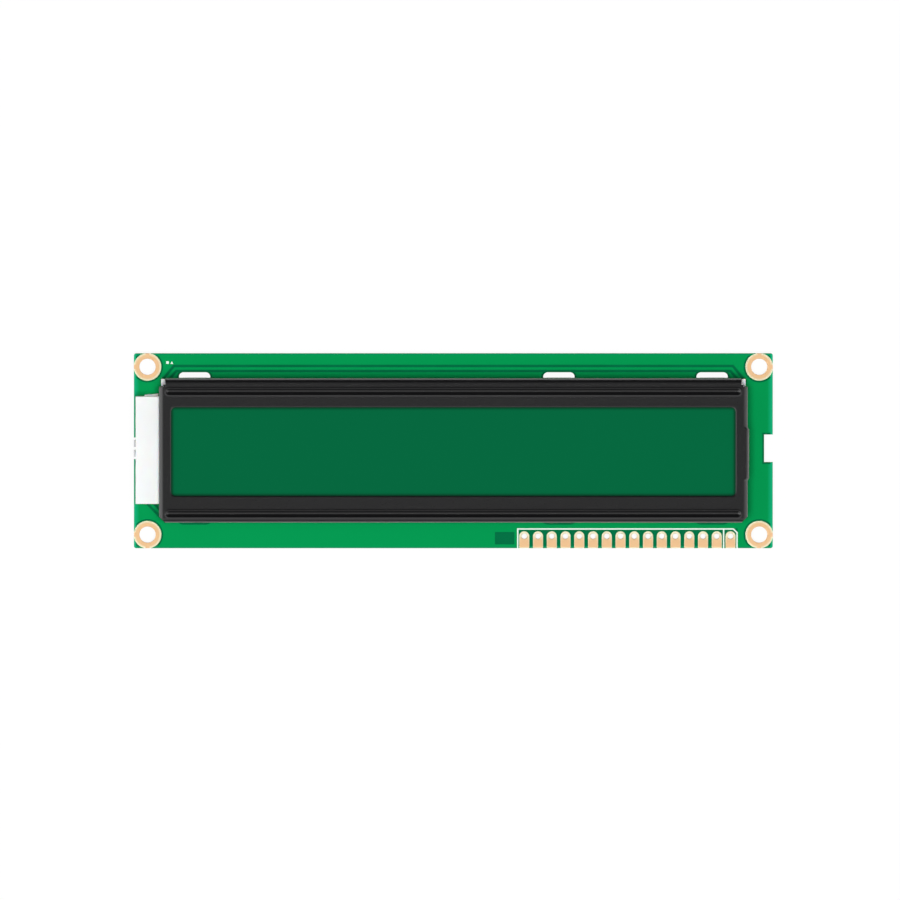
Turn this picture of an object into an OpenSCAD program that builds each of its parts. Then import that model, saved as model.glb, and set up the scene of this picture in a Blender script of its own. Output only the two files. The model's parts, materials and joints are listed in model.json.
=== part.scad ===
// Character LCD module: a side-lit liquid crystal cell clamped to its circuit board by a folded
// steel bezel. The board's rear face lies in z = 0 and the display looks along +Z. The origin is
// the centre of the four mounting holes, +X runs along the display and +Y up it. Millimetres.

/* [Circuit board] */
// Length of the board
board_l = 118; // [116:0.5:124]
// Width of the board
board_w = 36; // [35:0.5:44]
// Thickness of the laminate
board_t = 1.6; // [0.8:0.1:2.4]
// Radius of the board's corners
board_corner_r = 0.4; // [0.2:0.1:1.5]
// Thickness of the copper and its mask on each face
copper_t = 0.06; // [0.035:0.005:0.1]
// Bare strip along the board's edges
edge_margin = 0.25; // [0.1:0.05:0.5]
// Bare ring left in the copper round holes, slots and pads
copper_gap = 0.35; // [0.2:0.05:0.5]

/* [Mounting holes] */
// Distance of the mounting holes' centres from the board's edges
mount_inset = 2.5; // [2.4:0.1:2.8]
// Finished diameter of the mounting holes
mount_hole_d = 3; // [2.2:0.1:3.4]
// Diameter of the plated land round each mounting hole
mount_land_d = 5.1; // [4.4:0.1:5.4]
// Thickness of the plating on the walls of the holes
plating_t = 0.05; // [0.03:0.01:0.1]

/* [Header] */
// Number of header holes
header_pins = 16; // [14:1:16]
// Distance between neighbouring header holes
header_pitch = 2.54; // [2.2:0.02:2.54]
// Finished diameter of the header holes
header_hole_d = 1; // [0.8:0.05:1.1]
// Width of each header pad
header_pad_w = 1.85; // [1.5:0.05:1.9]
// Distance of the header holes' centres from the board's lower edge
header_inset = 2.2; // [1.8:0.1:2.4]
// Distance of the first header hole's centre from the board's right edge
header_end = 7.8; // [7.4:0.1:12]
// Width of the printed lines
print_w = 0.25; // [0.15:0.05:0.35]
// Thickness of the printed ink
print_t = 0.03; // [0.02:0.01:0.05]
// Space between the pads' round ends and the printed outline
print_gap = 0.3; // [0.2:0.05:0.35]
// Space between the outer pads' sides and the printed outline
print_side_gap = 0.15; // [0.1:0.05:0.3]
// Chamfer of the printed outline's corner beside the first pin
print_chamfer = 0.75; // [0.5:0.05:1]
// Distance of the two printed marks from the board's left and upper edges
mark_inset = [6.2, 1.7]; // [1.5:0.1:8]
// Size of the two printed marks
mark_size = 0.5; // [0.4:0.05:0.7]
// Distance between the two printed marks
mark_pitch = 0.8; // [0.75:0.05:1.2]

/* [Board cut-outs and traces] */
// Height of the end notches' centre above the board's centreline
notch_y = 0.45; // [0:0.05:1]
// Depth of the two end notches
notch_depth = 1.6; // [1.2:0.1:2]
// Width of the notch for the backlight leads, at the left end
lead_notch_w = 4; // [3.8:0.1:5]
// Width of the notch at the right end
right_notch_w = 5.1; // [3:0.1:6]
// Width of the traces that run round the bezel
trace_w = 0.45; // [0.3:0.05:0.6]
// Bare gap on each side of a trace
trace_gap = 0.48; // [0.3:0.02:0.5]
// Distance of the upper trace from the board's upper edge
trace_inset = 2.8; // [2.7:0.05:3.1]
// Distance of the upper trace's bends from the board's ends
trace_end = 7.6; // [7:0.1:9]
// Angle at which the upper trace turns down beside the bezel
trace_angle = 50; // [40:1:60]
// Drop of the upper trace at each end, which takes it under the bezel
trace_drop = 3; // [2.8:0.1:3.4]
// Distance of the lower trace's middle from the bezel's left end
lower_trace_out = 0.6; // [0.4:0.05:1]
// Distance of the lower trace's middle below the backlight housing
lower_trace_down = 1.1; // [0.9:0.05:1.4]
// Length of the lower trace
lower_trace_l = 6; // [5:0.1:6.4]
// Length of the bare field in the copper beside the header
bare_field_l = 3.6; // [2:0.1:5]
// Width of the bare field in the copper beside the header
bare_field_w = 2.3; // [1:0.1:2.4]
// Distance of the bare field from the header's outline and from the board's lower edge
bare_field_inset = [0.5, 0.7]; // [0.4:0.05:1]

/* [Bezel] */
// Distance of the bezel's ends from the board's ends
bezel_end = 4.7; // [4.5:0.1:5.5]
// Distance of the bezel's upper side from the board's upper edge
bezel_top = 4.5; // [4.3:0.1:5]
// Distance of the bezel's lower side from the board's lower edge
bezel_bottom = 4.9; // [4.6:0.1:5.4]
// Height of the bezel's face above the board's front
bezel_h = 8.6; // [8:0.1:11]
// Thickness of the bezel's sheet
sheet_t = 0.5; // [0.4:0.05:0.6]
// Outer radius of the bezel's folds
fold_r = 0.75; // [0.65:0.05:1]
// Length of the corner cut on each side
corner_cut = 1.15; // [0.9:0.05:1.4]
// Length of the pressed-out stretch of the right wall
bulge_l = 7.6; // [4:0.1:12]
// Distance that stretch stands out from the wall
bulge_out = 0.25; // [0.15:0.05:0.3]

/* [Window and beads] */
// Width of the face at each end of the window
window_side = 2.2; // [2.1:0.1:4]
// Width of the face above the window
window_top = 5.3; // [5:0.1:6]
// Width of the face below the window
window_bottom = 4.9; // [4.6:0.1:6]
// Radius of the window's corners
window_r = 0.9; // [0.5:0.1:2]
// Width of each bead's groove
bead_w = 1.3; // [1.1:0.05:1.4]
// Depth of each bead's groove
bead_depth = 0.35; // [0.25:0.05:0.4]
// Distance of the beads' ends from the bezel's ends
bead_end = 1.3; // [1.25:0.05:4]
// Distance of the upper bead's middle from the bezel's upper side
upper_bead_inset = 2.5; // [2.2:0.05:2.8]
// Distance of the lower bead's middle from the bezel's lower side
lower_bead_inset = 1.5; // [1.45:0.05:2]

/* [Tabs] */
// Distance of the outer tabs' middles from the bezel's ends
tab_end = 6.5; // [6:0.1:9]
// Distance of the middle tabs to the right of the bezel's centre
middle_tab_x = 19.5; // [0:0.1:24]
// Width of each tab
tab_w = 4.4; // [3:0.1:5]
// Length of the bent foot, from the wall's inner face
tab_foot = 2.4; // [2:0.1:3]
// Clearance below a tab in its slot
slot_clearance = 0.2; // [0.15:0.05:0.3]
// Room above a tab in its slot
slot_room = 1; // [0.6:0.1:1]
// Room at each end of a tab in its slot
slot_end_room = 0.7; // [0.6:0.05:1]

/* [Backlight] */
// Width of the channel for a contact strip on each side of the backlight housing
contact_channel = 2.9; // [2.8:0.1:3.6]
// Distance of the housing's end block from the board's left edge
block_inset = 0.36; // [0.3:0.02:0.6]
// Thickness of the housing's walls
housing_wall = 0.6; // [0.5:0.05:0.8]
// Thickness of the roof over the light guide's lit end
roof_t = 0.5; // [0.4:0.05:0.7]
// Thickness of the light guide
guide_t = 3; // [2.2:0.1:3.2]
// Thickness of the reflector and diffuser films
film_t = 0.2; // [0.1:0.05:0.25]
// Thickness of the LED strip's board
strip_t = 0.8; // [0.6:0.1:1]
// Depth, width and height of each LED
led_size = [1.2, 3.2, 1.8]; // [1:0.1:3.6]
// Number of LEDs
led_count = 3; // [2:1:4]
// Clearance between pieces that slide together
slip = 0.15; // [0.1:0.05:0.2]
// Height of the corner lugs above the board
lug_h = 4; // [2:0.1:5]
// Width of the corner lugs' arms
lug_w = 1.3; // [1:0.1:1.6]
// Extra length cut from the end walls for the corner lugs
lug_cut = 0.45; // [0.3:0.05:0.6]
// Length, width and height of the sloping foot beside the end block
side_foot_size = [2.6, 0.5, 1.2]; // [0.4:0.1:3]

/* [Backlight leads] */
// Width of each lead
lead_w = 1.2; // [0.8:0.1:1.3]
// Thickness of each lead
lead_t = 0.25; // [0.2:0.05:0.3]
// Distance between the two leads' centres
lead_pitch = 1.8; // [1.75:0.05:2]
// Depth of the leads below the middle of the LED strip
lead_drop = 1; // [0.6:0.1:1.2]
// Gap between a lead and the housing's end face
lead_gap = 0.1; // [0.06:0.02:0.12]
// Length of each lead's foot on the board's rear
lead_foot = 1.8; // [1.2:0.1:2.4]
// Radius of the solder joints on the leads
joint_r = 0.8; // [0.7:0.05:0.85]

/* [Liquid crystal cell] */
// Thickness of each glass
glass_t = 1.1; // [0.7:0.1:1.1]
// Thickness of the seal between the glasses
cell_gap = 0.05; // [0.03:0.01:0.1]
// Width of the seal
seal_w = 1; // [0.6:0.1:1.4]
// Distance of the seal and the rear polarizer from the rear glass's edges
cell_margin = 0.5; // [0.3:0.05:0.8]
// Thickness of the polarizers
polarizer_t = 0.2; // [0.1:0.05:0.25]
// Overlap of the front polarizer behind the window's edges
polarizer_lap = 0.8; // [0.5:0.1:1]
// Clearance of the front glass inside the bezel's walls
glass_clearance = 0.5; // [0.3:0.05:0.6]
// Width of the elastomer contact strips
elastomer_w = 1.7; // [1.2:0.1:1.7]
// Distance of the contact strips' ends from the front glass's ends
elastomer_end = 2; // [1.8:0.1:5]

/* [Rear parts] */
// Diameter of the epoxy globs
glob_d = 14; // [10:0.5:16]
// Height of the epoxy globs
glob_h = 1.6; // [1.2:0.1:2]
// Height by which each glob's crown is flattened
glob_flat = 0.6; // [0.3:0.1:0.8]
// Place of the controller's glob, as shares of the board's half length and half width
controller_at = [0.53, 0.1]; // [-0.1:0.01:0.6]
// Place of the first driver's glob, as such shares
driver_1_at = [-0.61, -0.05]; // [-0.7:0.01:0]
// Place of the second driver's glob, as such shares
driver_2_at = [-0.05, 0.1]; // [-0.1:0.01:0.1]
// Length, width and height of the small chip parts
chip_size = [2, 1.25, 0.5]; // [0.4:0.05:2.2]
// Length, width and height of the backlight's resistor
big_chip_size = [3.2, 1.6, 0.55]; // [0.4:0.05:3.4]
// Distance by which a chip part's end caps stand out from its body
chip_lip = 0.03; // [0.02:0.01:0.05]
// Distance between neighbouring chip parts in a row
chip_pitch = 2.6; // [2.4:0.1:3]
// Middle of the row of bias resistors, as such shares
bias_at = [0.24, -0.4]; // [-0.5:0.01:0.3]
// Middle of the row of capacitors, as such shares
capacitor_at = [0.76, 0.28]; // [-0.4:0.01:0.8]
// Place of the oscillator's resistor, as such shares
oscillator_at = [0.34, 0.45]; // [0.1:0.01:0.5]
// Place of the backlight's resistor, as such shares
backlight_resistor_at = [-0.85, 0.22]; // [-0.86:0.01:0.3]

/* [Hidden] */
$fn = 64;
eps = 0.01;

// The bezel's outline, and the display's centreline above the board's.
bezel_l = board_l - 2 * bezel_end;
bezel_w = board_w - bezel_top - bezel_bottom;
display_y = (bezel_bottom - bezel_top) / 2;

// Planes through the stack, from the board upwards.
seat = board_t + copper_t;
face = board_t + bezel_h;
sheet_under = face - sheet_t;
front_glass_z = sheet_under - bead_depth - glass_t;
rear_glass_z = front_glass_z - cell_gap - glass_t;
rear_polarizer_z = rear_glass_z - polarizer_t;
diffuser_z = rear_polarizer_z - film_t;
guide_z = diffuser_z - guide_t;
reflector_z = guide_z - film_t;
block_top = diffuser_z + roof_t;
rear_face = -copper_t;

// The bezel's walls.
inner_l = bezel_l - 2 * sheet_t;
inner_w = bezel_w - 2 * sheet_t;
inner_fold_r = fold_r - sheet_t;
groove_r = (pow(bead_w / 2, 2) + pow(bead_depth, 2)) / (2 * bead_depth);
bead_reach = bezel_l / 2 - bead_end - bead_w / 2;
bead_y = [bezel_w / 2 - upper_bead_inset, lower_bead_inset - bezel_w / 2];

// The window, whose middle lies window_rise above the bezel's.
window_l = bezel_l - 2 * window_side;
window_w = bezel_w - window_top - window_bottom;
window_rise = (window_bottom - window_top) / 2;

// The tabs on each long side, and the slots that take them.
outer_tab_x = bezel_l / 2 - tab_end;
tab_x = [-outer_tab_x, middle_tab_x, outer_tab_x];
slot_l = tab_w + 2 * slot_end_room;
slot_w = sheet_t + slot_clearance + slot_room;
upper_slot_y = display_y + inner_w / 2 - slot_clearance + slot_w / 2;
lower_slot_y = display_y - bezel_w / 2 - slot_clearance + slot_w / 2;

// The tray of the backlight housing, inside the bezel and out to the end block.
housing_w = inner_w - 2 * contact_channel;
block_x = -board_l / 2 + block_inset;
tray_end = inner_l / 2 - 2 * slip;
cavity_w = housing_w - 2 * housing_wall;
cavity_x = block_x + housing_wall;
cavity_end = tray_end - housing_wall;
rim_top = front_glass_z - slip;
guide_x = cavity_x + strip_t + led_size[0] + slip;
guide_w = cavity_w - 2 * slip;
led_pitch = guide_w / led_count;
wall_opening_w = housing_w + 2 * slip;

// The cell.
front_glass_l = inner_l - 2 * glass_clearance;
front_glass_w = inner_w - 2 * glass_clearance;
rear_glass_l = 2 * (cavity_end - slip);
elastomer_l = front_glass_l - 2 * elastomer_end;
elastomer_y = housing_w / 2 + slip;

// The header.
header_y = -board_w / 2 + header_inset;
first_pin_x = board_l / 2 - header_end;
last_pin_x = first_pin_x - (header_pins - 1) * header_pitch;
outline_top = header_y + header_pad_w / 2 + print_gap + print_w;
outline_right = first_pin_x + header_pad_w / 2 + print_side_gap + print_w;
outline_left = last_pin_x - header_pad_w / 2 - print_side_gap - print_w;

// The leads, which turn down past the housing's end block.
lead_x = block_x - lead_gap - lead_t;
lead_z = (reflector_z + diffuser_z) / 2 - lead_drop;
lead_bend_r = lead_gap + lead_t;
foot_end = -board_l / 2 + notch_depth + lead_foot;

MOUNTS = 4;
BIAS_RESISTORS = 5;
CAPACITORS = 3;
GLOBS = [controller_at, driver_1_at, driver_2_at];

function pad_name(i) = str("header_pad_", i < 10 ? "0" : "", i);

// ---- Shapes used by several pieces ----

// A rectangle with round corners, centred on the origin.
module rounded_rect(l, w, r) {
    square([l - 2 * r, w], center = true);
    square([l, w - 2 * r], center = true);
    for (sx = [-1, 1], sy = [-1, 1])
        translate([sx * (l / 2 - r), sy * (w / 2 - r)]) circle(r);
}

// A slot with half-round ends, centred on the origin.
module stadium(l, w) {
    square([l - w, w], center = true);
    for (s = [-1, 1]) translate([s * (l - w) / 2, 0]) circle(d = w);
}

module board_outline() {
    rounded_rect(board_l, board_w, board_corner_r);
}

// Puts its child on all four mounting holes, or on one of them.
module at_mounts(which = [1 : MOUNTS]) {
    for (i = which)
        translate([
            (i % 2 == 1 ? -1 : 1) * (board_l / 2 - mount_inset),
            (i <= 2 ? 1 : -1) * (board_w / 2 - mount_inset)
        ]) children();
}

module at_header(which = [1 : header_pins]) {
    for (i = which) translate([first_pin_x - (i - 1) * header_pitch, header_y]) children();
}

// The six tab slots, wider by grow all round.
module tab_slots(grow = 0) {
    for (x = tab_x, y = [upper_slot_y, lower_slot_y])
        translate([x, y]) stadium(slot_l + 2 * grow, slot_w + 2 * grow);
}

// The two end notches, wider by grow all round.
module end_notches(grow = 0) {
    for (side = [[-1, lead_notch_w], [1, right_notch_w]])
        translate([side[0] * board_l / 2, notch_y])
            square([2 * (notch_depth + grow), side[1] + 2 * grow], center = true);
}

// One header pad as seen from the front: a round end and a strip to the board's edge.
module pad_outline(grow = 0) {
    circle(d = header_pad_w + 2 * grow);
    translate([-header_pad_w / 2 - grow, -header_inset])
        square([header_pad_w + 2 * grow, header_inset]);
}

// ---- Circuit board ----

module printed_circuit_board() {
    color("#00683a") difference() {
        linear_extrude(board_t) difference() {
            board_outline();
            end_notches();
            tab_slots();
        }
        translate([0, 0, -eps]) {
            at_mounts() cylinder(d = mount_hole_d + 2 * plating_t, h = board_t + 2 * eps);
            at_header() cylinder(d = header_hole_d + 2 * plating_t, h = board_t + 2 * eps);
        }
    }
}

// A hole's plating: a barrel through the board with a land on each face.
module plated_hole(hole_d) {
    difference() {
        union() {
            for (z = [-copper_t, board_t])
                translate([0, 0, z]) linear_extrude(copper_t) children();
            cylinder(d = hole_d + 2 * plating_t, h = board_t);
        }
        translate([0, 0, rear_face - eps])
            cylinder(d = hole_d, h = board_t + 2 * copper_t + 2 * eps);
    }
}

module mounting_pad(i) {
    color("#f5cb9e") intersection() {
        at_mounts([i]) plated_hole(mount_hole_d) circle(d = mount_land_d);
        translate([0, 0, rear_face]) linear_extrude(board_t + 2 * copper_t) board_outline();
    }
}

module header_pad(i) {
    color("#fcd29d") at_header([i]) plated_hole(header_hole_d) pad_outline();
}

// The upper trace's centreline moved outwards by d, from its left end over the top to its right.
function over_path(d) = let (
    y = board_w / 2 - trace_inset,
    bend_x = board_l / 2 - trace_end + d * tan(trace_angle / 2),
    end_x = bend_x + trace_drop / tan(trace_angle)
) [
    [-end_x, y + d - trace_drop], [-bend_x, y + d], [bend_x, y + d], [end_x, y + d - trace_drop]
];

module over_band(w) {
    inner = over_path(-w / 2);
    polygon(concat(over_path(w / 2), [for (i = [3 : -1 : 0]) inner[i]]));
}

// The trace that comes out from under the end block and goes back under the bezel.
module lower_band(w) {
    translate([-bezel_l / 2 - lower_trace_out, display_y - housing_w / 2 - lower_trace_down])
        rotate(-45) square([lower_trace_l, w], center = true);
}

// The bare field round the header, inside its printed outline.
module header_field() {
    translate([outline_left, -board_w / 2])
        square([outline_right - outline_left, outline_top + board_w / 2]);
}

module front_copper() {
    channel_w = trace_w + 2 * trace_gap;
    color("#01934f") translate([0, 0, board_t]) linear_extrude(copper_t) {
        difference() {
            rounded_rect(board_l - 2 * edge_margin, board_w - 2 * edge_margin, board_corner_r);
            at_mounts() circle(d = mount_land_d + 2 * copper_gap);
            tab_slots(copper_gap);
            end_notches(copper_gap);
            header_field();
            translate([outline_left - bare_field_l, -board_w / 2])
                translate([-bare_field_inset[0], bare_field_inset[1]])
                    square([bare_field_l, bare_field_w]);
            over_band(channel_w);
            lower_band(channel_w);
        }
        difference() {
            over_band(trace_w);
            tab_slots(copper_gap);
        }
        lower_band(trace_w);
    }
}

module rear_copper() {
    color("#01934f") translate([0, 0, rear_face]) linear_extrude(copper_t) difference() {
        rounded_rect(board_l - 2 * edge_margin, board_w - 2 * edge_margin, board_corner_r);
        at_mounts() circle(d = mount_land_d + 2 * copper_gap);
        at_header() pad_outline(copper_gap);
        tab_slots(copper_gap);
        end_notches(copper_gap);
        for (at = GLOBS) translate(on_board(at)) circle(d = glob_d + 2 * slip);
    }
}

// White ink: the outline round the header with a box round the first pin, and two marks.
module header_print() {
    m = mark_size;
    color("white") {
        translate([0, 0, board_t]) linear_extrude(copper_t + print_t) {
            difference() {
                outline_2d(0);
                outline_2d(print_w);
            }
            translate([first_pin_x - header_pitch / 2 - print_w / 2, -board_w / 2])
                square([print_w, outline_top + board_w / 2 - print_w]);
        }
        translate([mark_inset[0] - board_l / 2, board_w / 2 - mark_inset[1], seat])
            linear_extrude(print_t) {
                square(m, center = true);
                translate([mark_pitch, 0]) polygon([[-m / 2, -m / 2], [m / 2, -m / 2], [0, m / 2]]);
            }
    }
}

// The header's printed outline, moved inwards by d and open at the board's edge.
module outline_2d(d) {
    top = outline_top - d;
    right = outline_right - d;
    left = outline_left + d;
    cut = print_chamfer - d * (2 - sqrt(2));
    base = -board_w / 2 - d;
    polygon([[left, base], [left, top], [right - cut, top], [right, top - cut], [right, base]]);
}

// ---- Bezel ----

// A block with its four upper edges rounded and its lower end at the seat.
module folded_block(l, w, top, r) {
    h = top - seat;
    intersection() {
        rotate([90, 0, 0]) linear_extrude(w, center = true) fold_profile(l, h, r);
        rotate([90, 0, 90]) linear_extrude(l, center = true) fold_profile(w, h, r);
    }
}

module fold_profile(w, h, r) {
    translate([-w / 2, seat]) square([w, h - r]);
    translate([-w / 2 + r, seat]) square([w - 2 * r, h]);
    for (s = [-1, 1]) translate([s * (w / 2 - r), seat + h - r]) circle(r);
}

// The stretch of the right wall that is pressed out to take the housing's end lug.
module bulge(out, l, top, r) {
    ramp = 2 * bulge_out;
    intersection() {
        translate([0, 0, seat]) linear_extrude(top - seat)
            polygon([
                [0, -l / 2 - ramp], [out - bulge_out, -l / 2 - ramp], [out, -l / 2],
                [out, l / 2], [out - bulge_out, l / 2 + ramp], [0, l / 2 + ramp]
            ]);
        rotate([90, 0, 0]) linear_extrude(2 * l, center = true) fold_profile(2 * out, top - seat, r);
    }
}

// One bead's rolled form: a lying cylinder with ball ends that dips below the sheet.
module bead_form(r) {
    for (y = bead_y)
        translate([0, y, face - bead_depth + groove_r]) {
            rotate([0, 90, 0]) cylinder(r = r, h = 2 * bead_reach, center = true);
            for (s = [-1, 1]) translate([s * bead_reach, 0, 0]) sphere(r);
        }
}

// One tab on the upper side: down through its slot and bent flat under the board.
module tab() {
    bottom = rear_face - sheet_t;
    r = sheet_t + inner_fold_r;
    translate([-tab_w / 2, inner_w / 2, 0]) rotate([90, 0, 90]) linear_extrude(tab_w) {
        translate([0, rear_face + inner_fold_r])
            square([sheet_t, seat - rear_face - inner_fold_r + eps]);
        translate([-tab_foot, bottom]) square([tab_foot - inner_fold_r, sheet_t]);
        translate([-inner_fold_r, rear_face + inner_fold_r]) intersection() {
            difference() {
                circle(r);
                circle(inner_fold_r);
            }
            translate([0, -r]) square(r);
        }
    }
}

module bezel() {
    color("#2f2f2f") translate([0, display_y, 0]) {
        difference() {
            union() {
                folded_block(bezel_l, bezel_w, face, fold_r);
                bulge(bezel_l / 2 + bulge_out, bulge_l, face, inner_fold_r);
            }
            difference() {
                union() {
                    translate([0, 0, -eps])
                        folded_block(inner_l, inner_w, sheet_under + eps, inner_fold_r);
                    translate([0, 0, -eps])
                        bulge(inner_l / 2 + bulge_out, bulge_l, sheet_under + eps, eps);
                }
                bead_form(groove_r + sheet_t);
            }
            bead_form(groove_r);
            translate([0, window_rise, sheet_under - sheet_t])
                linear_extrude(3 * sheet_t) rounded_rect(window_l, window_w, window_r);
            corner_cuts();
            wall_opening();
        }
        for (x = tab_x) {
            translate([x, 0, 0]) tab();
            translate([x, 0, 0]) mirror([0, 1, 0]) tab();
        }
    }
}

// The corner cuts: the face is bevelled, and the walls end square below the folds. The end walls
// stop shorter at the upper corners, where the housing's lugs show.
module corner_cuts() {
    side = corner_cut * sqrt(2);
    for (sx = [-1, 1], sy = [-1, 1]) {
        translate([sx * bezel_l / 2, sy * bezel_w / 2, face / 2])
            rotate(45) cube([side, side, 2 * face], center = true);
        translate([sx * bezel_l / 2, sy * bezel_w / 2, 0])
            cube([2 * corner_cut, 2 * end_wall_cut(sy), 2 * (face - fold_r)], center = true);
    }
}

// How far an end wall stops short of the upper (1) or lower (-1) corner.
function end_wall_cut(side) = corner_cut + (side > 0 ? lug_cut : 0);

// The opening in the left wall that the backlight housing passes through.
module wall_opening() {
    translate([-bezel_l / 2 - eps, -wall_opening_w / 2, 0])
        cube([sheet_t + inner_fold_r + eps, wall_opening_w, block_top + slip]);
}

// ---- Liquid crystal cell ----

// A flat sheet of the cell or backlight, centred on the display.
module sheet(l, w, z, t) {
    translate([-l / 2, display_y - w / 2, z]) cube([l, w, t]);
}

// A sheet smaller than the rear glass by d on every side.
module inset_sheet(d, z, t) {
    sheet(rear_glass_l - 2 * d, guide_w - 2 * d, z, t);
}

module front_polarizer() {
    l = window_l + 2 * polarizer_lap;
    w = window_w + 2 * polarizer_lap;
    color("#006239") translate([0, window_rise, 0])
        sheet(l, w, front_glass_z + glass_t, polarizer_t);
}

module front_glass() {
    color("lightcyan", 0.4) sheet(front_glass_l, front_glass_w, front_glass_z, glass_t);
}

module cell_seal() {
    z = rear_glass_z + glass_t;
    color("white") difference() {
        inset_sheet(cell_margin, z, cell_gap);
        inset_sheet(cell_margin + seal_w, z - eps, cell_gap + 2 * eps);
    }
}

module rear_glass() {
    color("lightcyan", 0.4) inset_sheet(0, rear_glass_z, glass_t);
}

module rear_polarizer() {
    color("darkolivegreen") inset_sheet(cell_margin, rear_polarizer_z, polarizer_t);
}

// A conductive rubber strip between the board's contacts and the front glass's ledge.
module elastomer_strip(side) {
    color("dimgray")
        translate([
            -elastomer_l / 2,
            display_y + (side > 0 ? elastomer_y : -elastomer_y - elastomer_w),
            seat
        ]) cube([elastomer_l, elastomer_w, front_glass_z - seat]);
}

// ---- Backlight ----

module backlight_housing() {
    tray_l = tray_end - block_x;
    color("#f6f6f6") translate([0, display_y, 0]) difference() {
        union() {
            translate([block_x, -housing_w / 2, seat])
                cube([tray_l, housing_w, block_top - seat]);
            translate([-tray_end, -housing_w / 2, seat])
                cube([2 * tray_end, housing_w, rim_top - seat]);
            end_lug();
            corner_lugs();
            side_foot();
        }
        translate([cavity_x, -cavity_w / 2, reflector_z])
            cube([cavity_end - cavity_x, cavity_w, diffuser_z + slip - reflector_z]);
        translate([-cavity_end, -cavity_w / 2, diffuser_z])
            cube([2 * cavity_end, cavity_w, face]);
        for (s = [-1, 1])
            translate([block_x + housing_wall / 2, notch_y - display_y + s * lead_pitch / 2, lead_z])
                cube([housing_wall + 2 * eps, lead_w + 2 * eps, lead_t + 2 * eps], center = true);
    }
}

// The lug on the tray's right end that seats in the pressed-out wall.
module end_lug() {
    reach = inner_l / 2 + bulge_out - slip;
    translate([cavity_end, -bulge_l / 2 + slip, seat])
        cube([reach - cavity_end, bulge_l - 2 * slip, block_top - seat]);
}

// Arms at the tray's upper corners whose tips fill the cut corners of the bezel.
module corner_lugs() {
    x_in = inner_l / 2 - slip;
    y_in = inner_w / 2 - slip;
    x_tip = inner_l / 2 + slip;
    y_tip = inner_w / 2 + 2 * slip;
    x_wall = bezel_l / 2 - corner_cut + slip / 2;
    y_wall = bezel_w / 2 - end_wall_cut(1) + slip / 2;
    y_root = (housing_w - housing_wall) / 2;
    for (s = [0, 1]) mirror([s, 0, 0]) translate([0, 0, seat]) linear_extrude(lug_h)
        polygon([
            [x_in - lug_w, y_root], [x_in, y_root], [x_in, y_wall], [x_tip, y_wall],
            [x_tip, y_tip], [x_wall, y_tip], [x_wall, y_in], [x_in - lug_w, y_in]
        ]);
}

// A low sloping foot beside the end block.
module side_foot() {
    l = side_foot_size[0];
    w = side_foot_size[1];
    translate([-bezel_l / 2 - slip, housing_w / 2, seat]) linear_extrude(side_foot_size[2])
        polygon([[-l, -eps], [0, -eps], [0, w], [-l, w / 2]]);
}

module reflector_film() {
    color("silver") film(reflector_z, film_t);
}

module light_guide() {
    color("azure") film(guide_z, guide_t);
}

// A piece that runs from the LEDs to the tray's right end.
module film(z, t) {
    translate([guide_x, display_y - guide_w / 2, z]) cube([cavity_end - slip - guide_x, guide_w, t]);
}

module diffuser_film() {
    color("white") inset_sheet(0, diffuser_z, film_t);
}

module led_strip_board() {
    color("#e8e2c8") translate([cavity_x, display_y - guide_w / 2, reflector_z])
        cube([strip_t, guide_w, diffuser_z - reflector_z]);
}

module backlight_led(i) {
    y = display_y + (i - (led_count + 1) / 2) * led_pitch;
    color("#f4f0d8") translate([cavity_x + strip_t, y - led_size[1] / 2, guide_z + guide_t / 2])
        translate([0, 0, -led_size[2] / 2]) cube(led_size);
}

// The side view of a lead: out of the end block, down through the notch and under the board.
module lead_profile() {
    inner = lead_gap;
    top = lead_z + lead_t / 2;
    bend_x = block_x;
    translate([bend_x, lead_z - lead_t / 2]) square([cavity_x - bend_x, lead_t]);
    translate([lead_x, rear_face + inner])
        square([lead_t, top - lead_bend_r - rear_face - inner]);
    translate([bend_x, rear_face - lead_t]) square([foot_end - bend_x, lead_t]);
    for (bend = [[top - lead_bend_r, 0], [rear_face + inner, -lead_bend_r]])
        translate([bend_x, bend[0]]) intersection() {
            difference() {
                circle(lead_bend_r);
                circle(inner);
            }
            translate([-lead_bend_r, bend[1]]) square(lead_bend_r);
        }
}

// side is 1 for the upper lead and -1 for the lower one.
module lead(side) {
    color("silver") translate([0, notch_y + side * lead_pitch / 2, 0])
        rotate([90, 0, 0]) linear_extrude(lead_w, center = true) lead_profile();
}

// A pill of solder over the end of a lead's foot, shaped round the foot.
module lead_solder(side) {
    start = -board_l / 2 + notch_depth + copper_gap + joint_r;
    color("lightgray") difference() {
        translate([0, notch_y + side * lead_pitch / 2, rear_face]) intersection() {
            union() {
                translate([start, 0, 0]) rotate([0, 90, 0]) cylinder(r = joint_r, h = lead_foot / 2);
                for (x = [start, start + lead_foot / 2]) translate([x, 0, 0]) sphere(joint_r);
            }
            translate([start, 0, 0] - 2 * joint_r * [1, 1, 1])
                cube([lead_foot + 4 * joint_r, 4 * joint_r, 2 * joint_r]);
        }
        lead(side);
    }
}

// ---- Rear parts ----

// A place given as shares of the board's half length and half width.
function on_board(share) = [share[0] * board_l / 2, share[1] * board_w / 2];

// An epoxy glob hanging from the board's rear: a ball's cap with a flattened crown.
module glob(at) {
    crown = glob_h + glob_flat;
    r = (pow(glob_d / 2, 2) + pow(crown, 2)) / (2 * crown);
    color("#1a1a1a") translate(on_board(at)) intersection() {
        translate([0, 0, r - crown]) sphere(r);
        translate([0, 0, -glob_h]) cylinder(r = glob_d, h = glob_h);
    }
}

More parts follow.
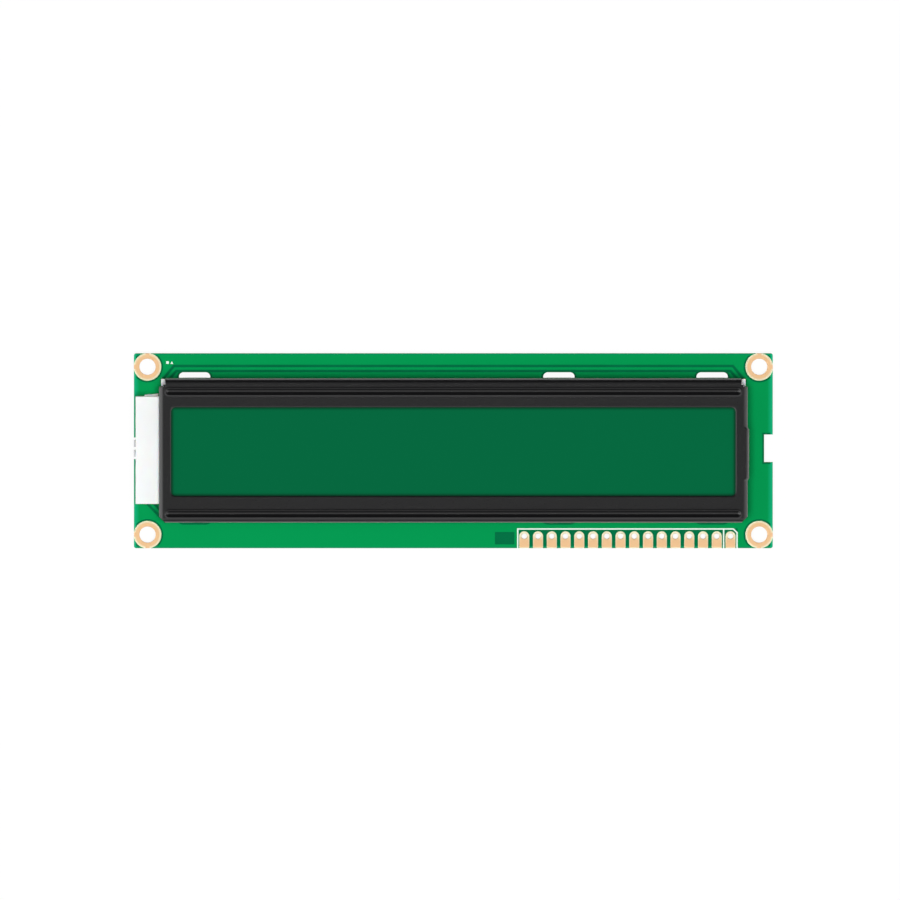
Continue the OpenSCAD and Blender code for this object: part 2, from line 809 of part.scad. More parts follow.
// A chip part under the board: its body between two slightly larger end caps.
module chip(at, size, body_color, turn = 0) {
    cap = size[0] / 5;
    color(body_color) translate([at[0], at[1], rear_face - size[2] / 2]) rotate(turn) {
        cube(size - [0, 2 * chip_lip, 2 * chip_lip], center = true);
        for (s = [-1, 1])
            translate([s * (size[0] - cap) / 2, 0, 0]) cube([cap, size[1], size[2]], center = true);
    }
}

// The i-th of count chip parts in a row centred at its place, each standing across the row.
module row_chip(i, count, at, body_color) {
    chip(on_board(at) + [(i - (count + 1) / 2) * chip_pitch, 0], chip_size, body_color, 90);
}

// ---- The model ----

printed_circuit_board();
front_copper();
rear_copper();
header_print();
for (i = [1 : MOUNTS])
    mounting_pad(i);
for (i = [1 : header_pins])
    header_pad(i);
bezel();
front_polarizer();
front_glass();
cell_seal();
rear_glass();
rear_polarizer();
elastomer_strip(1);  // upper_elastomer_strip
elastomer_strip(-1);  // lower_elastomer_strip
backlight_housing();
diffuser_film();
light_guide();
reflector_film();
led_strip_board();
for (i = [1 : led_count])
    backlight_led(i);
lead(1);  // anode_lead
lead(-1);  // cathode_lead
lead_solder(1);  // anode_solder
lead_solder(-1);  // cathode_solder
glob(GLOBS[0]);  // controller_glob
glob(GLOBS[1]);  // driver_glob_1
glob(GLOBS[2]);  // driver_glob_2
for (i = [1 : BIAS_RESISTORS])
    row_chip(i, BIAS_RESISTORS, bias_at, "#202020");
for (i = [1 : CAPACITORS])
    row_chip(i, CAPACITORS, capacitor_at, "#b8946a");
chip(on_board(oscillator_at), chip_size, "#202020");  // oscillator_resistor
chip(on_board(backlight_resistor_at), big_chip_size, "#202020", 90);  // backlight_resistor
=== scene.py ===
"""The looks of a character LCD module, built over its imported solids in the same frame.

The board lies in the XY plane and the display looks along +Z. Sizes are in millimetres and are
turned into the frame's metres by MM where a mesh or a material is made.
"""

import json
import logging
import math
from dataclasses import dataclass, field
from enum import Enum
from typing import Any

import bmesh
import bpy
import numpy as np
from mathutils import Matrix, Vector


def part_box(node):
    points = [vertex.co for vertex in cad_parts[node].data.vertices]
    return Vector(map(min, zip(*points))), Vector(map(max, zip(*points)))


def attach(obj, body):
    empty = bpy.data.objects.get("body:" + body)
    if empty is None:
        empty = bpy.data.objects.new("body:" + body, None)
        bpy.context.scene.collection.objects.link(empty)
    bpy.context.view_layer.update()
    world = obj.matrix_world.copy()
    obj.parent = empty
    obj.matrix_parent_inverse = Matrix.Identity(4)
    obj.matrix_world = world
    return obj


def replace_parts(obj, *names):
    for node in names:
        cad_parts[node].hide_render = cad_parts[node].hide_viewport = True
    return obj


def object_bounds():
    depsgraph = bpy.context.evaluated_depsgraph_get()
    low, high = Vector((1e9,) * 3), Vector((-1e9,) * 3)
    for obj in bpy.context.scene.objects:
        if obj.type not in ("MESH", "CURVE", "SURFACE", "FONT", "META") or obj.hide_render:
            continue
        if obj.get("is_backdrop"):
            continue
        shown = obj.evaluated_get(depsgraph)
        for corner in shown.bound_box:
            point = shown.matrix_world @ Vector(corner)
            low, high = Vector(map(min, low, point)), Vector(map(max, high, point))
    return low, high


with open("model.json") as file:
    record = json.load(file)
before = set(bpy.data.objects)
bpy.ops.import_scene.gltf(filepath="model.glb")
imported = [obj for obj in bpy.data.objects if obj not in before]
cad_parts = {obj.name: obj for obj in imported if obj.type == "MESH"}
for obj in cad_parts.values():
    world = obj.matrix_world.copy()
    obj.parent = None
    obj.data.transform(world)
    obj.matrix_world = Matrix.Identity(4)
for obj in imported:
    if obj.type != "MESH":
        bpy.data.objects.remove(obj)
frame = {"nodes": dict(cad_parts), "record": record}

logging.basicConfig(level=logging.INFO, format="%(message)s")
LOG = logging.getLogger("lcd_module")
MM = 0.001
# A copied CAD mesh merges points nearer than MERGE_MM, joins faces whose angle is under FLAT_DEG,
# and has its edges rounded in ROUND_FACETS where they are sharper than ROUND_DEG.
MERGE_MM = 0.0005
FLAT_DEG = 1.0
ROUND_DEG = 35.0
ROUND_FACETS = 3
Array = np.ndarray
Tree = bpy.types.NodeTree
Object = bpy.types.Object


class Slot(Enum):
    """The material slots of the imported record."""

    LAMINATE = "laminate"
    MASKED_COPPER = "masked_copper"
    WHITE_INK = "white_ink"
    PLATED_COPPER = "plated_copper"
    BLACK_STEEL = "black_steel"
    POLARIZER = "polarizer"
    DISPLAY_GLASS = "display_glass"
    SEAL_RESIN = "seal_resin"
    CONTACT_RUBBER = "contact_rubber"
    WHITE_PLASTIC = "white_plastic"
    WHITE_FILM = "white_film"
    CLEAR_ACRYLIC = "clear_acrylic"
    STRIP_LAMINATE = "strip_laminate"
    LED_PACKAGE = "led_package"
    TINNED_METAL = "tinned_metal"
    SOLDER = "solder"
    BLACK_EPOXY = "black_epoxy"
    RESISTOR_BODY = "resistor_body"
    CAPACITOR_BODY = "capacitor_body"


# ---- Nodes and colours ----


def linear(colour: str) -> tuple[float, float, float, float]:
    """Turns an sRGB hex colour into the linear colour that a socket takes.

    Args:
        colour: A colour such as "#01934f".

    Returns:
        Red, green, blue and an alpha of one.
    """
    parts = np.array([int(colour[i : i + 2], 16) for i in (1, 3, 5)]) / 255
    low = parts <= 0.04045
    value = np.where(low, parts / 12.92, ((parts + 0.055) / 1.055) ** 2.4)
    return (*value.tolist(), 1.0)


def add(
    tree: Tree, kind: str, inputs: dict[Any, Any] | None = None, **settings: Any
) -> bpy.types.Node:
    """Adds one node with its settings, its sockets' values and the links into it.

    Args:
        tree: The tree that gets the node.
        kind: The node's type without its leading "ShaderNode".
        inputs: Socket names or indices, each with a socket to link, a hex colour or a value.
        settings: The node's own properties.

    Returns:
        The new node.
    """
    node = tree.nodes.new("ShaderNode" + kind)
    for name, value in settings.items():
        setattr(node, name, value)
    for key, value in (inputs or {}).items():
        if isinstance(value, bpy.types.NodeSocket):
            tree.links.new(value, node.inputs[key])
        else:
            node.inputs[key].default_value = linear(value) if isinstance(value, str) else value
    return node


# ---- Finishes ----


@dataclass(frozen=True)
class Finish:
    """A surface whose colour drifts slowly and whose grain shows in its bump and roughness."""

    slot: Slot
    colour: str
    shade: str
    roughness: float
    drift_mm: float = 5.0
    grain_mm: float = 0.3
    grain_depth_mm: float = 0.004
    swing: float = 0.06
    metallic: float = 0.0
    ior: float = 1.5
    specular: float = 0.5
    extra: tuple[tuple[str, float], ...] = ()

    def stretch(self) -> tuple[float, float, float]:
        """Gives how much the grain is squeezed along each axis."""
        return (1.0, 1.0, 1.0)

    def tint(self, tree: Tree, place: Any, drift: Any) -> Any:
        """Gives the colour: a mix of the colour and its shade that follows the slow drift."""
        return add(
            tree, "Mix", {0: drift, 6: self.colour, 7: self.shade}, data_type="RGBA"
        ).outputs[2]

    def fade(
        self, tree: Tree, under: Any, over: Any, along: Any,
        stretch_mm: tuple[float, float], most: float = 1.0, shape: str = "LINEAR",
    ) -> Any:
        """Fades one colour into another over a stretch of a coordinate.

        Args:
            tree: The material's tree.
            under: The colour before the stretch.
            over: The colour after it.
            along: The coordinate, in metres.
            stretch_mm: Where the fade starts and ends.
            most: The share of the second colour at the end.
            shape: The fade's interpolation.

        Returns:
            The mixed colour's socket.
        """
        low, high = (end * MM for end in stretch_mm)
        share = add(
            tree, "MapRange", {0: along, 1: low, 2: high, 4: most}, interpolation_type=shape
        ).outputs[0]
        return add(tree, "Mix", {0: share, 6: under, 7: over}, data_type="RGBA").outputs[2]

    def material(self) -> bpy.types.Material:
        """Builds the material on Object coordinates.

        Returns:
            A material with one surface shader, its colour, roughness and bump from noise.
        """
        made = bpy.data.materials.new(self.slot.value)
        made.use_nodes = True
        tree = made.node_tree
        tree.nodes.clear()
        place = add(tree, "TexCoord").outputs["Object"]
        drift = add(
            tree, "TexNoise", {"Vector": place, "Scale": 1 / (self.drift_mm * MM), "Detail": 3.0}
        ).outputs[0]
        along = add(tree, "Mapping", {"Vector": place, "Scale": self.stretch()}).outputs[0]
        grain = add(
            tree, "TexNoise", {"Vector": along, "Scale": 1 / (self.grain_mm * MM), "Detail": 2.0}
        ).outputs[0]
        low, high = self.roughness - self.swing, self.roughness + self.swing
        rough = add(tree, "MapRange", {0: grain, 3: low, 4: high}).outputs[0]
        depth = self.grain_depth_mm * MM
        bump = add(tree, "Bump", {"Height": grain, "Distance": depth}).outputs[0]
        shader = add(
            tree,
            "BsdfPrincipled",
            {
                "Base Color": self.tint(tree, place, drift),
                "Roughness": rough,
                "Normal": bump,
                "Metallic": self.metallic,
                "IOR": self.ior,
                "Specular IOR Level": self.specular,
                **dict(self.extra),
            },
        )
        add(tree, "OutputMaterial", {"Surface": shader.outputs[0]})
        return made


@dataclass(frozen=True)
class MaskedLaminate(Finish):
    """Glass-epoxy board under green mask, with bare sawn sides that show its layers."""

    end_colour: str = "#14ab78"
    edge_colour: str = "#088a5a"
    core_colour: str = "#c3bb86"
    half_l_mm: float = 59.0
    half_w_mm: float = 18.0
    margin_mm: float = 0.5
    whole_mm: float = 0.3
    layer_mm: float = 0.2
    layer_colour: str = "#8f9560"
    layer_share: float = 0.45
    flat_from: float = 0.5

    def tint(self, tree: Tree, place: Any, drift: Any) -> Any:
        """Gives green faces, lighter rims at the board's edges, and layered sides."""
        mask = super().tint(tree, place, drift)
        axes = add(tree, "SeparateXYZ", {0: place}).outputs
        for axis, half, colour in (
            (1, self.half_w_mm, self.edge_colour),
            (0, self.half_l_mm, self.end_colour),
        ):
            out = add(tree, "Math", {0: axes[axis]}, operation="ABSOLUTE").outputs[0]
            rim = (half - self.margin_mm, half - self.whole_mm)
            mask = self.fade(tree, mask, colour, out, rim, shape="SMOOTHSTEP")
        layers = add(
            tree, "Math", {0: axes[2], 1: 2 * math.pi / (self.layer_mm * MM)}, operation="MULTIPLY"
        ).outputs[0]
        wave = add(tree, "Math", {0: layers}, operation="SINE").outputs[0]
        streak = add(tree, "MapRange", {0: wave, 1: -1.0, 4: self.layer_share}).outputs[0]
        core = add(
            tree, "Mix", {0: streak, 6: self.core_colour, 7: self.layer_colour}, data_type="RGBA"
        ).outputs[2]
        normal = add(tree, "NewGeometry").outputs["Normal"]
        upright = add(tree, "SeparateXYZ", {0: normal}).outputs[2]
        steep = add(tree, "Math", {0: upright}, operation="ABSOLUTE").outputs[0]
        side = add(
            tree, "Math", {0: steep, 1: self.flat_from}, operation="LESS_THAN"
        ).outputs[0]
        return add(tree, "Mix", {0: side, 6: mask, 7: core}, data_type="RGBA").outputs[2]


@dataclass(frozen=True)
class MaskedCopper(Finish):
    """Green mask over copper, a little duller towards the board's right by painted shade."""

    # Painted shade: the colour that the mask fades to at the board's right end.
    right_shade_colour: str = "#00914c"
    end_colour: str = "#0fa771"
    half_l_mm: float = 59.0
    margin_mm: float = 1.0
    whole_mm: float = 0.3

    def tint(self, tree: Tree, place: Any, drift: Any) -> Any:
        """Gives the mask's colour with painted shade along the board, lighter at its ends."""
        half = self.half_l_mm
        across = add(tree, "SeparateXYZ", {0: place}).outputs[0]
        out = add(tree, "Math", {0: across}, operation="ABSOLUTE").outputs[0]
        mask = super().tint(tree, place, drift)
        # Painted shade that darkens the mask from the board's left end to its right one.
        mask = self.fade(tree, mask, self.right_shade_colour, across, (-half, half))
        rim = (half - self.margin_mm, half - self.whole_mm)
        return self.fade(tree, mask, self.end_colour, out, rim)


@dataclass(frozen=True)
class ViewingFilm(Finish):
    """Green film over the cell, with painted shade that darkens it near the window's edges."""

    # Painted shade: the dark green that the film fades to at the window's edges.
    rim_colour: str = "#07301f"
    half_l_mm: float = 52.1
    half_w_mm: float = 8.2
    shade_fade_mm: float = 0.75
    depth: float = 0.8

    def tint(self, tree: Tree, place: Any, drift: Any) -> Any:
        """Gives the green, mixed with a painted shade colour by how near the window's edge is."""
        colour = super().tint(tree, place, drift)
        axes = add(tree, "SeparateXYZ", {0: place}).outputs
        for axis, half in ((0, self.half_l_mm), (1, self.half_w_mm)):
            out = add(tree, "Math", {0: axes[axis]}, operation="ABSOLUTE").outputs[0]
            rim = (half - self.shade_fade_mm, half)
            colour = self.fade(
                tree, colour, self.rim_colour, out, rim, self.depth, "SMOOTHERSTEP"
            )
        return colour


@dataclass(frozen=True)
class PlatedLand(Finish):
    """Copper under a thin organic coat: peach, paler at its outline and in a painted highlight."""

    # The pale colour of the outline and of the painted highlight above a header pad's hole.
    rim_colour: str = "#f7f0cc"

    def tint(self, tree: Tree, place: Any, drift: Any) -> Any:
        """Gives the coat's peach, paler where the piece's own rim attribute is high."""
        body = super().tint(tree, place, drift)
        rim = add(tree, "Attribute", attribute_name="rim").outputs["Fac"]
        return add(
            tree, "Mix", {0: rim, 6: body, 7: self.rim_colour}, data_type="RGBA"
        ).outputs[2]


@dataclass(frozen=True)
class DrawnMetal(Finish):
    """Metal strip whose rolling marks run along its length."""

    def stretch(self) -> tuple[float, float, float]:
        """Squeezes the grain across the strip, so that the marks run along X and Z."""
        return (0.12, 1.0, 0.12)


@dataclass(frozen=True)
class Workshop:
    """Every finish of the module, each built once."""

    made: dict[Slot, bpy.types.Material] = field(default_factory=dict)

    def finishes(self) -> tuple[Finish, ...]:
        """Lists the finishes, each with what the eye sees of how it was made."""
        return (
            # Screened solder mask on glass-epoxy: dark green, satin, faintly dimpled.
            MaskedLaminate(
                Slot.LAMINATE, "#00623a", "#007446", 0.42, grain_mm=0.25, specular=0.1
            ),
            # The same mask over copper: brighter, as the metal throws the light back.
            MaskedCopper(
                Slot.MASKED_COPPER, "#01964f", "#00924e", 0.4, drift_mm=14.0, specular=0.1
            ),
            # Screen-printed epoxy ink: matt white with ragged, slightly thin patches.
            Finish(Slot.WHITE_INK, "#f4fff8", "#d6efe2", 0.6, drift_mm=0.4, grain_mm=0.08),
            # Copper dipped in an organic coat: soft peach with little shine.
            PlatedLand(Slot.PLATED_COPPER, "#f8cc9a", "#f3c592", 0.45, drift_mm=1.2, metallic=0.2),
            # Steel sheet stamped after black enamelling: satin, with a fine leathery grain.
            Finish(
                Slot.BLACK_STEEL, "#131314", "#101011", 0.3, grain_mm=0.12, grain_depth_mm=0.001,
                specular=0.9,
            ),
            # Stretched polymer film over the cell: smooth, deep green, soft gloss.
            # Its rim is darkened by painted shade.
            ViewingFilm(
                Slot.POLARIZER, "#006039", "#00623a", 0.35, drift_mm=30.0, grain_depth_mm=0.0005,
                specular=0.1,
            ),
            # Float glass: clear, slightly green.
            Finish(
                Slot.DISPLAY_GLASS, "#e3f2ea", "#dcefe6", 0.04, swing=0.01, grain_depth_mm=0.0,
                ior=1.52, extra=(("Transmission Weight", 1.0),),
            ),
            # Cured epoxy bead: milky and smooth.
            Finish(Slot.SEAL_RESIN, "#e8e6dc", "#dcd8c8", 0.4, drift_mm=1.0),
            # Layered silicone rubber: matt dark grey.
            Finish(Slot.CONTACT_RUBBER, "#4a4a4c", "#3c3c3e", 0.8, drift_mm=0.6, grain_mm=0.1),
            # Moulded white polycarbonate: satin, lets a little light in.
            Finish(
                Slot.WHITE_PLASTIC, "#f7f7f7", "#efefef", 0.45, drift_mm=6.0, grain_mm=0.15,
                grain_depth_mm=0.002,
                extra=(("Subsurface Weight", 0.12), ("Subsurface Scale", 1.0 * MM)),
            ),
            # Filled polyester film: even matt white.
            Finish(Slot.WHITE_FILM, "#f2f2f0", "#ebebe8", 0.55, grain_mm=0.1),
            # Cast acrylic: clear and glossy.
            Finish(
                Slot.CLEAR_ACRYLIC, "#f2fafa", "#eaf5f5", 0.06, swing=0.02, ior=1.49,
                grain_depth_mm=0.0, extra=(("Transmission Weight", 0.9),),
            ),
            # Unmasked glass-epoxy strip: cream with a woven mottle.
            Finish(Slot.STRIP_LAMINATE, "#ded7b4", "#cfc79f", 0.5, drift_mm=0.8, grain_mm=0.2),
            # Moulded LED body filled with yellow phosphor gel.
            Finish(Slot.LED_PACKAGE, "#f3edc9", "#e9d98a", 0.25, drift_mm=1.5),
            # Rolled and tinned strip: grey metal with fine marks along it.
            DrawnMetal(
                Slot.TINNED_METAL, "#bdbdbf", "#a4a4a8", 0.32, drift_mm=0.8, grain_mm=0.08,
                metallic=1.0,
            ),
            # Solidified solder: bright metal with a faint frost of crystals.
            Finish(
                Slot.SOLDER, "#c4c4c6", "#a9a9ad", 0.28, drift_mm=0.5, grain_mm=0.15, metallic=1.0
            ),
            # Dripped black epoxy: glossy with slow waves from its flow.
            Finish(
                Slot.BLACK_EPOXY, "#161616", "#1e1e1f", 0.18, drift_mm=3.0, grain_mm=2.5,
                grain_depth_mm=0.05, swing=0.05,
            ),
            # Glazed resistor top over white alumina.
            Finish(Slot.RESISTOR_BODY, "#202123", "#2b2c30", 0.3, drift_mm=0.5, grain_mm=0.1),
            # Fired ceramic: tan and dull.
            Finish(Slot.CAPACITOR_BODY, "#b8946a", "#a9855b", 0.5, drift_mm=0.5, grain_mm=0.1),
        )

    def build(self) -> None:
        """Builds every finish once."""
        for finish in self.finishes():
            self.made[finish.slot] = finish.material()

    def dress(self, made: Object, node: str, *slots: Slot) -> Object:
        """Gives a new piece its finishes and lets it stand for a CAD node.

        Args:
            made: The new piece.
            node: The CAD node that it replaces.
            slots: Its finishes, the one of its record first.

        Returns:
            The piece.
        """
        for slot in slots:
            made.data.materials.append(self.made[slot])
        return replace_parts(made, node)


# ---- Meshes ----


def merged(points: Array, faces: Array) -> tuple[Array, Array]:
    """Merges points that share a place, and drops faces that fall to a line.

    Points are compared after rounding to a ten-thousandth of a millimetre.

    Args:
        points: Places in millimetres, one row each.
        faces: Indices of each face's four corners.

    Returns:
        The merged points and the faces that are left, where a triangle repeats a corner.
    """
    _, first, back = np.unique(
        np.round(points, 4), axis=0, return_index=True, return_inverse=True
    )
    faces = back.reshape(-1)[faces]
    corners = (faces != np.roll(faces, 1, axis=1)).sum(axis=1)
    return points[first], faces[corners >= 3]


def grid_faces(rows: int, columns: int) -> Array:
    """Lists the quads of a grid of points stored row by row.

    Args:
        rows: Number of rows of points.
        columns: Number of points in a row.

    Returns:
        One row of four indices per quad, counter-clockwise where rows rise and columns run right.
    """
    r, c = np.meshgrid(np.arange(rows - 1), np.arange(columns - 1), indexing="ij")
    at = (r * columns + c).reshape(-1)
    return np.stack([at, at + 1, at + columns + 1, at + columns], axis=1)


def loop_faces(rows: int, columns: int, closed: bool = False) -> Array:
    """Lists the quads of a grid whose last column meets its first.

    Args:
        rows: Number of rows of points.
        columns: Number of points in a row.
        closed: Whether the last row meets the first as well.

    Returns:
        One row of four indices per quad.
    """
    row = np.arange(rows + closed) % rows
    column = np.arange(columns + 1) % columns
    index = (row[:, None] * columns + column[None]).reshape(-1)
    return index[grid_faces(rows + closed, columns + 1)]


def joined(parts: list[tuple[Array, Array]]) -> tuple[Array, Array]:
    """Joins several sets of points and their quads as one.

    Args:
        parts: Points, whose last axis holds the coordinates, each with their quads.

    Returns:
        All the points, one row each, and all the quads, counted on from part to part.
    """
    rows = [points.reshape(-1, points.shape[-1]) for points, _ in parts]
    starts = np.cumsum([0] + [len(row) for row in rows])
    quads = [faces + start for (_, faces), start in zip(parts, starts)]
    return np.vstack(rows), np.vstack(quads)


def placed(name: str, mesh: bpy.types.Mesh, smooth_deg: float) -> Object:
    """Turns a mesh's faces outwards, smooths its curves and adds it to the scene.

    Args:
        name: The piece's name.
        mesh: Its mesh, in metres.
        smooth_deg: Edges sharper than this stay sharp.

    Returns:
        The new object at the origin.
    """
    work = bmesh.new()
    work.from_mesh(mesh)
    bmesh.ops.recalc_face_normals(work, faces=work.faces)
    work.to_mesh(mesh)
    work.free()
    mesh.polygons.foreach_set("use_smooth", np.ones(len(mesh.polygons), bool))
    mesh.set_sharp_from_angle(angle=math.radians(smooth_deg))
    made = bpy.data.objects.new(name, mesh)
    bpy.context.scene.collection.objects.link(made)
    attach(made, "root")
    LOG.info("%s: %d faces", name, len(mesh.polygons))
    return made


def shell(name: str, points: Array, faces: list[list[int]], smooth_deg: float) -> Object:
    """Adds a piece whose points and faces are right as they are.

    Args:
        name: The piece's name.
        points: Places in millimetres.
        faces: Each face's corners.
        smooth_deg: Edges sharper than this stay sharp.

    Returns:
        The new object at the origin.
    """
    mesh = bpy.data.meshes.new(name)
    mesh.from_pydata((points * MM).tolist(), [], faces)
    return placed(name, mesh, smooth_deg)


def piece(name: str, points: Array, faces: Array, smooth_deg: float = 40.0) -> Object:
    """Adds a piece whose points are merged first, so that seams and poles close.

    Args:
        name: The piece's name.
        points: Places in millimetres.
        faces: Indices of each face's corners, a triangle with one corner repeated.
        smooth_deg: Edges sharper than this stay sharp.

    Returns:
        The new object at the origin.
    """
    points, faces = merged(points, faces)
    corners = [list(dict.fromkeys(face)) for face in faces.tolist()]
    return shell(name, points, corners, smooth_deg)


def softened(node: str, name: str, radius_mm: float) -> Object:
    """Copies a CAD node as one merged mesh and rounds its edges, as a mould or a die leaves them.

    Args:
        node: The CAD node that the piece stands for.
        name: The new piece's name.
        radius_mm: Width of the rounding.

    Returns:
        The new piece.
    """
    mesh = frame["nodes"][node].data.copy()
    mesh.name = name
    mesh.materials.clear()
    work = bmesh.new()
    work.from_mesh(mesh)
    bmesh.ops.remove_doubles(work, verts=work.verts, dist=MERGE_MM * MM)
    bmesh.ops.dissolve_limit(
        work, angle_limit=math.radians(FLAT_DEG), verts=work.verts, edges=work.edges
    )
    work.to_mesh(mesh)
    work.free()
    made = placed(name, mesh, smooth_deg=60.0)
    edge = made.modifiers.new("rounding", "BEVEL")
    edge.width, edge.segments = radius_mm * MM, ROUND_FACETS
    edge.limit_method, edge.angle_limit = "ANGLE", math.radians(ROUND_DEG)
    edge.use_clamp_overlap = True
    return made


# ---- The bezel ----


@dataclass(frozen=True)
class Lines:
    """Grid lines along one axis of the bezel, as a place and a drop on each of its two skins.

    A zone is 0 on the face, 1 on the fold, 2 on the wall above the block's opening, 3 below its
    top and 4 on a tab. Zones of the low side are negative.
    """

    place: Array
    place_in: Array
    drop: Array
    drop_in: Array
    zone: Array

    def cells(self) -> tuple[Array, Array]:
        """Gives the middle of the strip between each two lines, and its outermost zone."""
        low, high = self.zone[:-1], self.zone[1:]
        middle = (self.place[1:] + self.place[:-1]) / 2
        return middle, np.where(np.abs(high) > np.abs(low), high, low)

    def inside(self, low: float, high: float, slack: float = 1e-3) -> Array:
        """Gives the places of the face's own lines from low to high, with a little slack."""
        place = self.place
        return place[(self.zone == 0) & (place >= low - slack) & (place <= high + slack)]


@dataclass
class Bezel:
    """The stamped bezel: one folded sheet with window, beads, cut corners and bent tabs.

    The sheet is drawn as two skins on one grid of lines, which run out over the folds and down
    the walls. edge rounds the beads' rims, lip and lip_w are the height and width of the crest
    beside them, opening_w and opening_top the hole in the left wall for the backlight's block,
    wall_line is the drop of a grid line down the walls, and ring_w is the width of the ring of
    face that turns the grid's rectangle into the round window. The spans and the numbers of lines
    set how densely the grid follows the beads, their tips, the corners and the open face.
    """

    shop: Workshop
    sheet: float = 0.5
    fold_r: float = 0.85
    corner_cut: float = 1.15
    lug_cut: float = 0.45
    bulge_l: float = 8.9
    bulge_out: float = 0.25
    bulge_y: float = -0.6
    bulge_pinch: float = 0.3
    window_side: float = 2.2
    window_top: float = 5.3
    window_bottom: float = 4.9
    window_r: float = 0.9
    bead_w: float = 1.12
    bead_depth: float = 0.35
    bead_end: float = 1.3
    bead_insets: tuple[float, float] = (2.42, 1.62)
    edge: float = 0.03
    lip: float = 0.05
    lip_w: float = 0.16
    tab_end: float = 6.5
    middle_tab: float = 19.5
    tab_w: float = 4.4
    tab_foot: float = 2.4
    rear_face: float = -0.06
    opening_w: float = 20.1
    opening_top: float = 7.35
    wall_line: float = 5.0
    ring_w: float = 0.5
    ring_steps: tuple[float, ...] = (0.0, 0.4, 0.68, 0.84, 0.94, 1.0)
    roll_start: float = 0.7
    roll_depth: float = 0.06
    corner_lines: int = 9
    bead_span: float = 1.2
    bead_lines: int = 49
    tip_span: tuple[float, float] = (1.6, 0.5)
    tip_lines: int = 31
    ramp_lines: int = 6
    face_span: float = 50.0
    face_lines: int = 41

    def __post_init__(self) -> None:
        """Takes the overall sizes from the CAD bezel and works out the lines cut by features."""
        low, high = (np.array(corner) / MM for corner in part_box("bezel"))
        self.half_l = -float(low[0])
        self.half_w = float(high[1] - low[1]) / 2
        self.middle_y = float(high[1] + low[1]) / 2
        self.face = float(high[2])
        self.seat = float(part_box("front_copper")[1][2]) / MM
        self.inner_r = self.fold_r - self.sheet
        self.ring_x = self.half_l - self.window_side + self.ring_w
        self.ring_hi = self.half_w - self.window_top + self.ring_w
        self.ring_lo = self.window_bottom - self.half_w - self.ring_w
        self.cut_x = self.half_l - self.corner_cut
        self.cut_y = self.half_w - self.corner_cut
        end_tab = self.half_l - self.tab_end
        self.tabs = np.array([-end_tab, self.middle_tab, end_tab])

    def fold_angles(self) -> Array:
        """Gives the fold's angles, one of them where the folds part at a cut corner."""
        part = math.asin((self.fold_r - self.corner_cut / 2) / self.fold_r)
        return np.concatenate([[part / 2, part], np.linspace(part, math.pi / 2, 8)[1:]])

    def section(self, half: float, with_tab: bool) -> Lines:
        """Works out the sheet's section from the flat face over the fold and down the wall.

        The outer fold is a quarter circle of fold_r, the inner one a quarter circle of inner_r on
        the same centre; below the seat the wall of a tabbed side runs on, and bends in again.

        Args:
            half: Distance of the wall's outer face from the bezel's middle.
            with_tab: Whether the section goes on into a tab.

        Returns:
            The section's lines, from the face outwards.
        """
        turn = self.fold_angles()
        bend = np.linspace(0, math.pi / 2, 9)
        centre = half - self.fold_r
        level = self.face - self.rear_face - self.inner_r
        foot = half - self.sheet - self.tab_foot
        falls = np.array([self.face - self.opening_top, self.wall_line, self.face - self.seat])
        skins = []
        for r, wall in ((self.fold_r, half), (self.inner_r, half - self.sheet)):
            fold = np.column_stack([centre + r * np.sin(turn), self.fold_r - r * np.cos(turn)])
            rows = [fold, np.column_stack([np.full(3, wall), falls])]
            if with_tab:
                tab = np.column_stack([centre + r * np.cos(bend), level + r * np.sin(bend)])
                rows += [tab, [[foot, level + r]]]
            skins.append(np.vstack(rows))
        zones = [1] * len(turn) + [2, 3, 3] + [4] * (len(bend) + 1) * with_tab
        out, inn = skins
        return Lines(out[:, 0], inn[:, 0], out[:, 1], inn[:, 1], np.array(zones))

    def lines(self, half: float, with_tab: bool, inside: Array) -> Lines:
        """Joins the face's grid lines with the section on both sides.

        Args:
            half: Distance of the walls' outer faces from the middle.
            with_tab: Whether the walls carry tabs.
            inside: The face's own grid lines, without its flat ends.

        Returns:
            All the lines, from the low side to the high one.
        """
        side = self.section(half, with_tab)
        flat = half - self.fold_r
        mid = np.unique(np.round(np.concatenate([[-flat, flat], inside]), 4))
        return Lines(
            *(
                np.concatenate([sign * part[::-1], middle, part])
                for part, sign, middle in (
                    (side.place, -1, mid),
                    (side.place_in, -1, mid),
                    (side.drop, 1, 0 * mid),
                    (side.drop_in, 1, 0 * mid + self.sheet),
                    (side.zone, -1, 0 * mid),
                )
            )
        )

    def bead_drop(self, x: Array, y: Array) -> Array:
        """Gives how far the beads dip the sheet.

        Across a bead the dip is a parabola of its depth and width around the bead's middle line;
        half the sum of that value and the root of its square plus the edge's square rounds it
        into the flat face. A bell curve of the lip's height stands round the bead's outline,
        where the sheet was pushed up, so the face lies a lip's height below its crest.

        Args:
            x: Places along the bezel.
            y: Places across it.

        Returns:
            The dip at each place, in millimetres.
        """
        reach = self.half_l - self.bead_end - self.bead_w / 2
        dip = np.zeros(np.broadcast(x, y).shape)
        crest = np.zeros(dip.shape)
        for middle in self.bead_middles():
            past = np.maximum(np.abs(x) - reach, 0)
            away = np.hypot(past, y - middle) / (self.bead_w / 2)
            arch = self.bead_depth * (1 - away**2)
            dip = dip + (arch + np.sqrt(arch**2 + self.edge**2)) / 2 * (away < 3)
            beyond = (away - 1) * self.bead_w / 2 - self.lip_w / 2
            crest = np.maximum(crest, np.exp(-((beyond / self.lip_w) ** 2)))
        return dip + self.lip * (1 - crest)

    def bead_middles(self) -> tuple[float, float]:
        """Gives the heights of the two beads' middle lines."""
        return (self.half_w - self.bead_insets[0], self.bead_insets[1] - self.half_w)

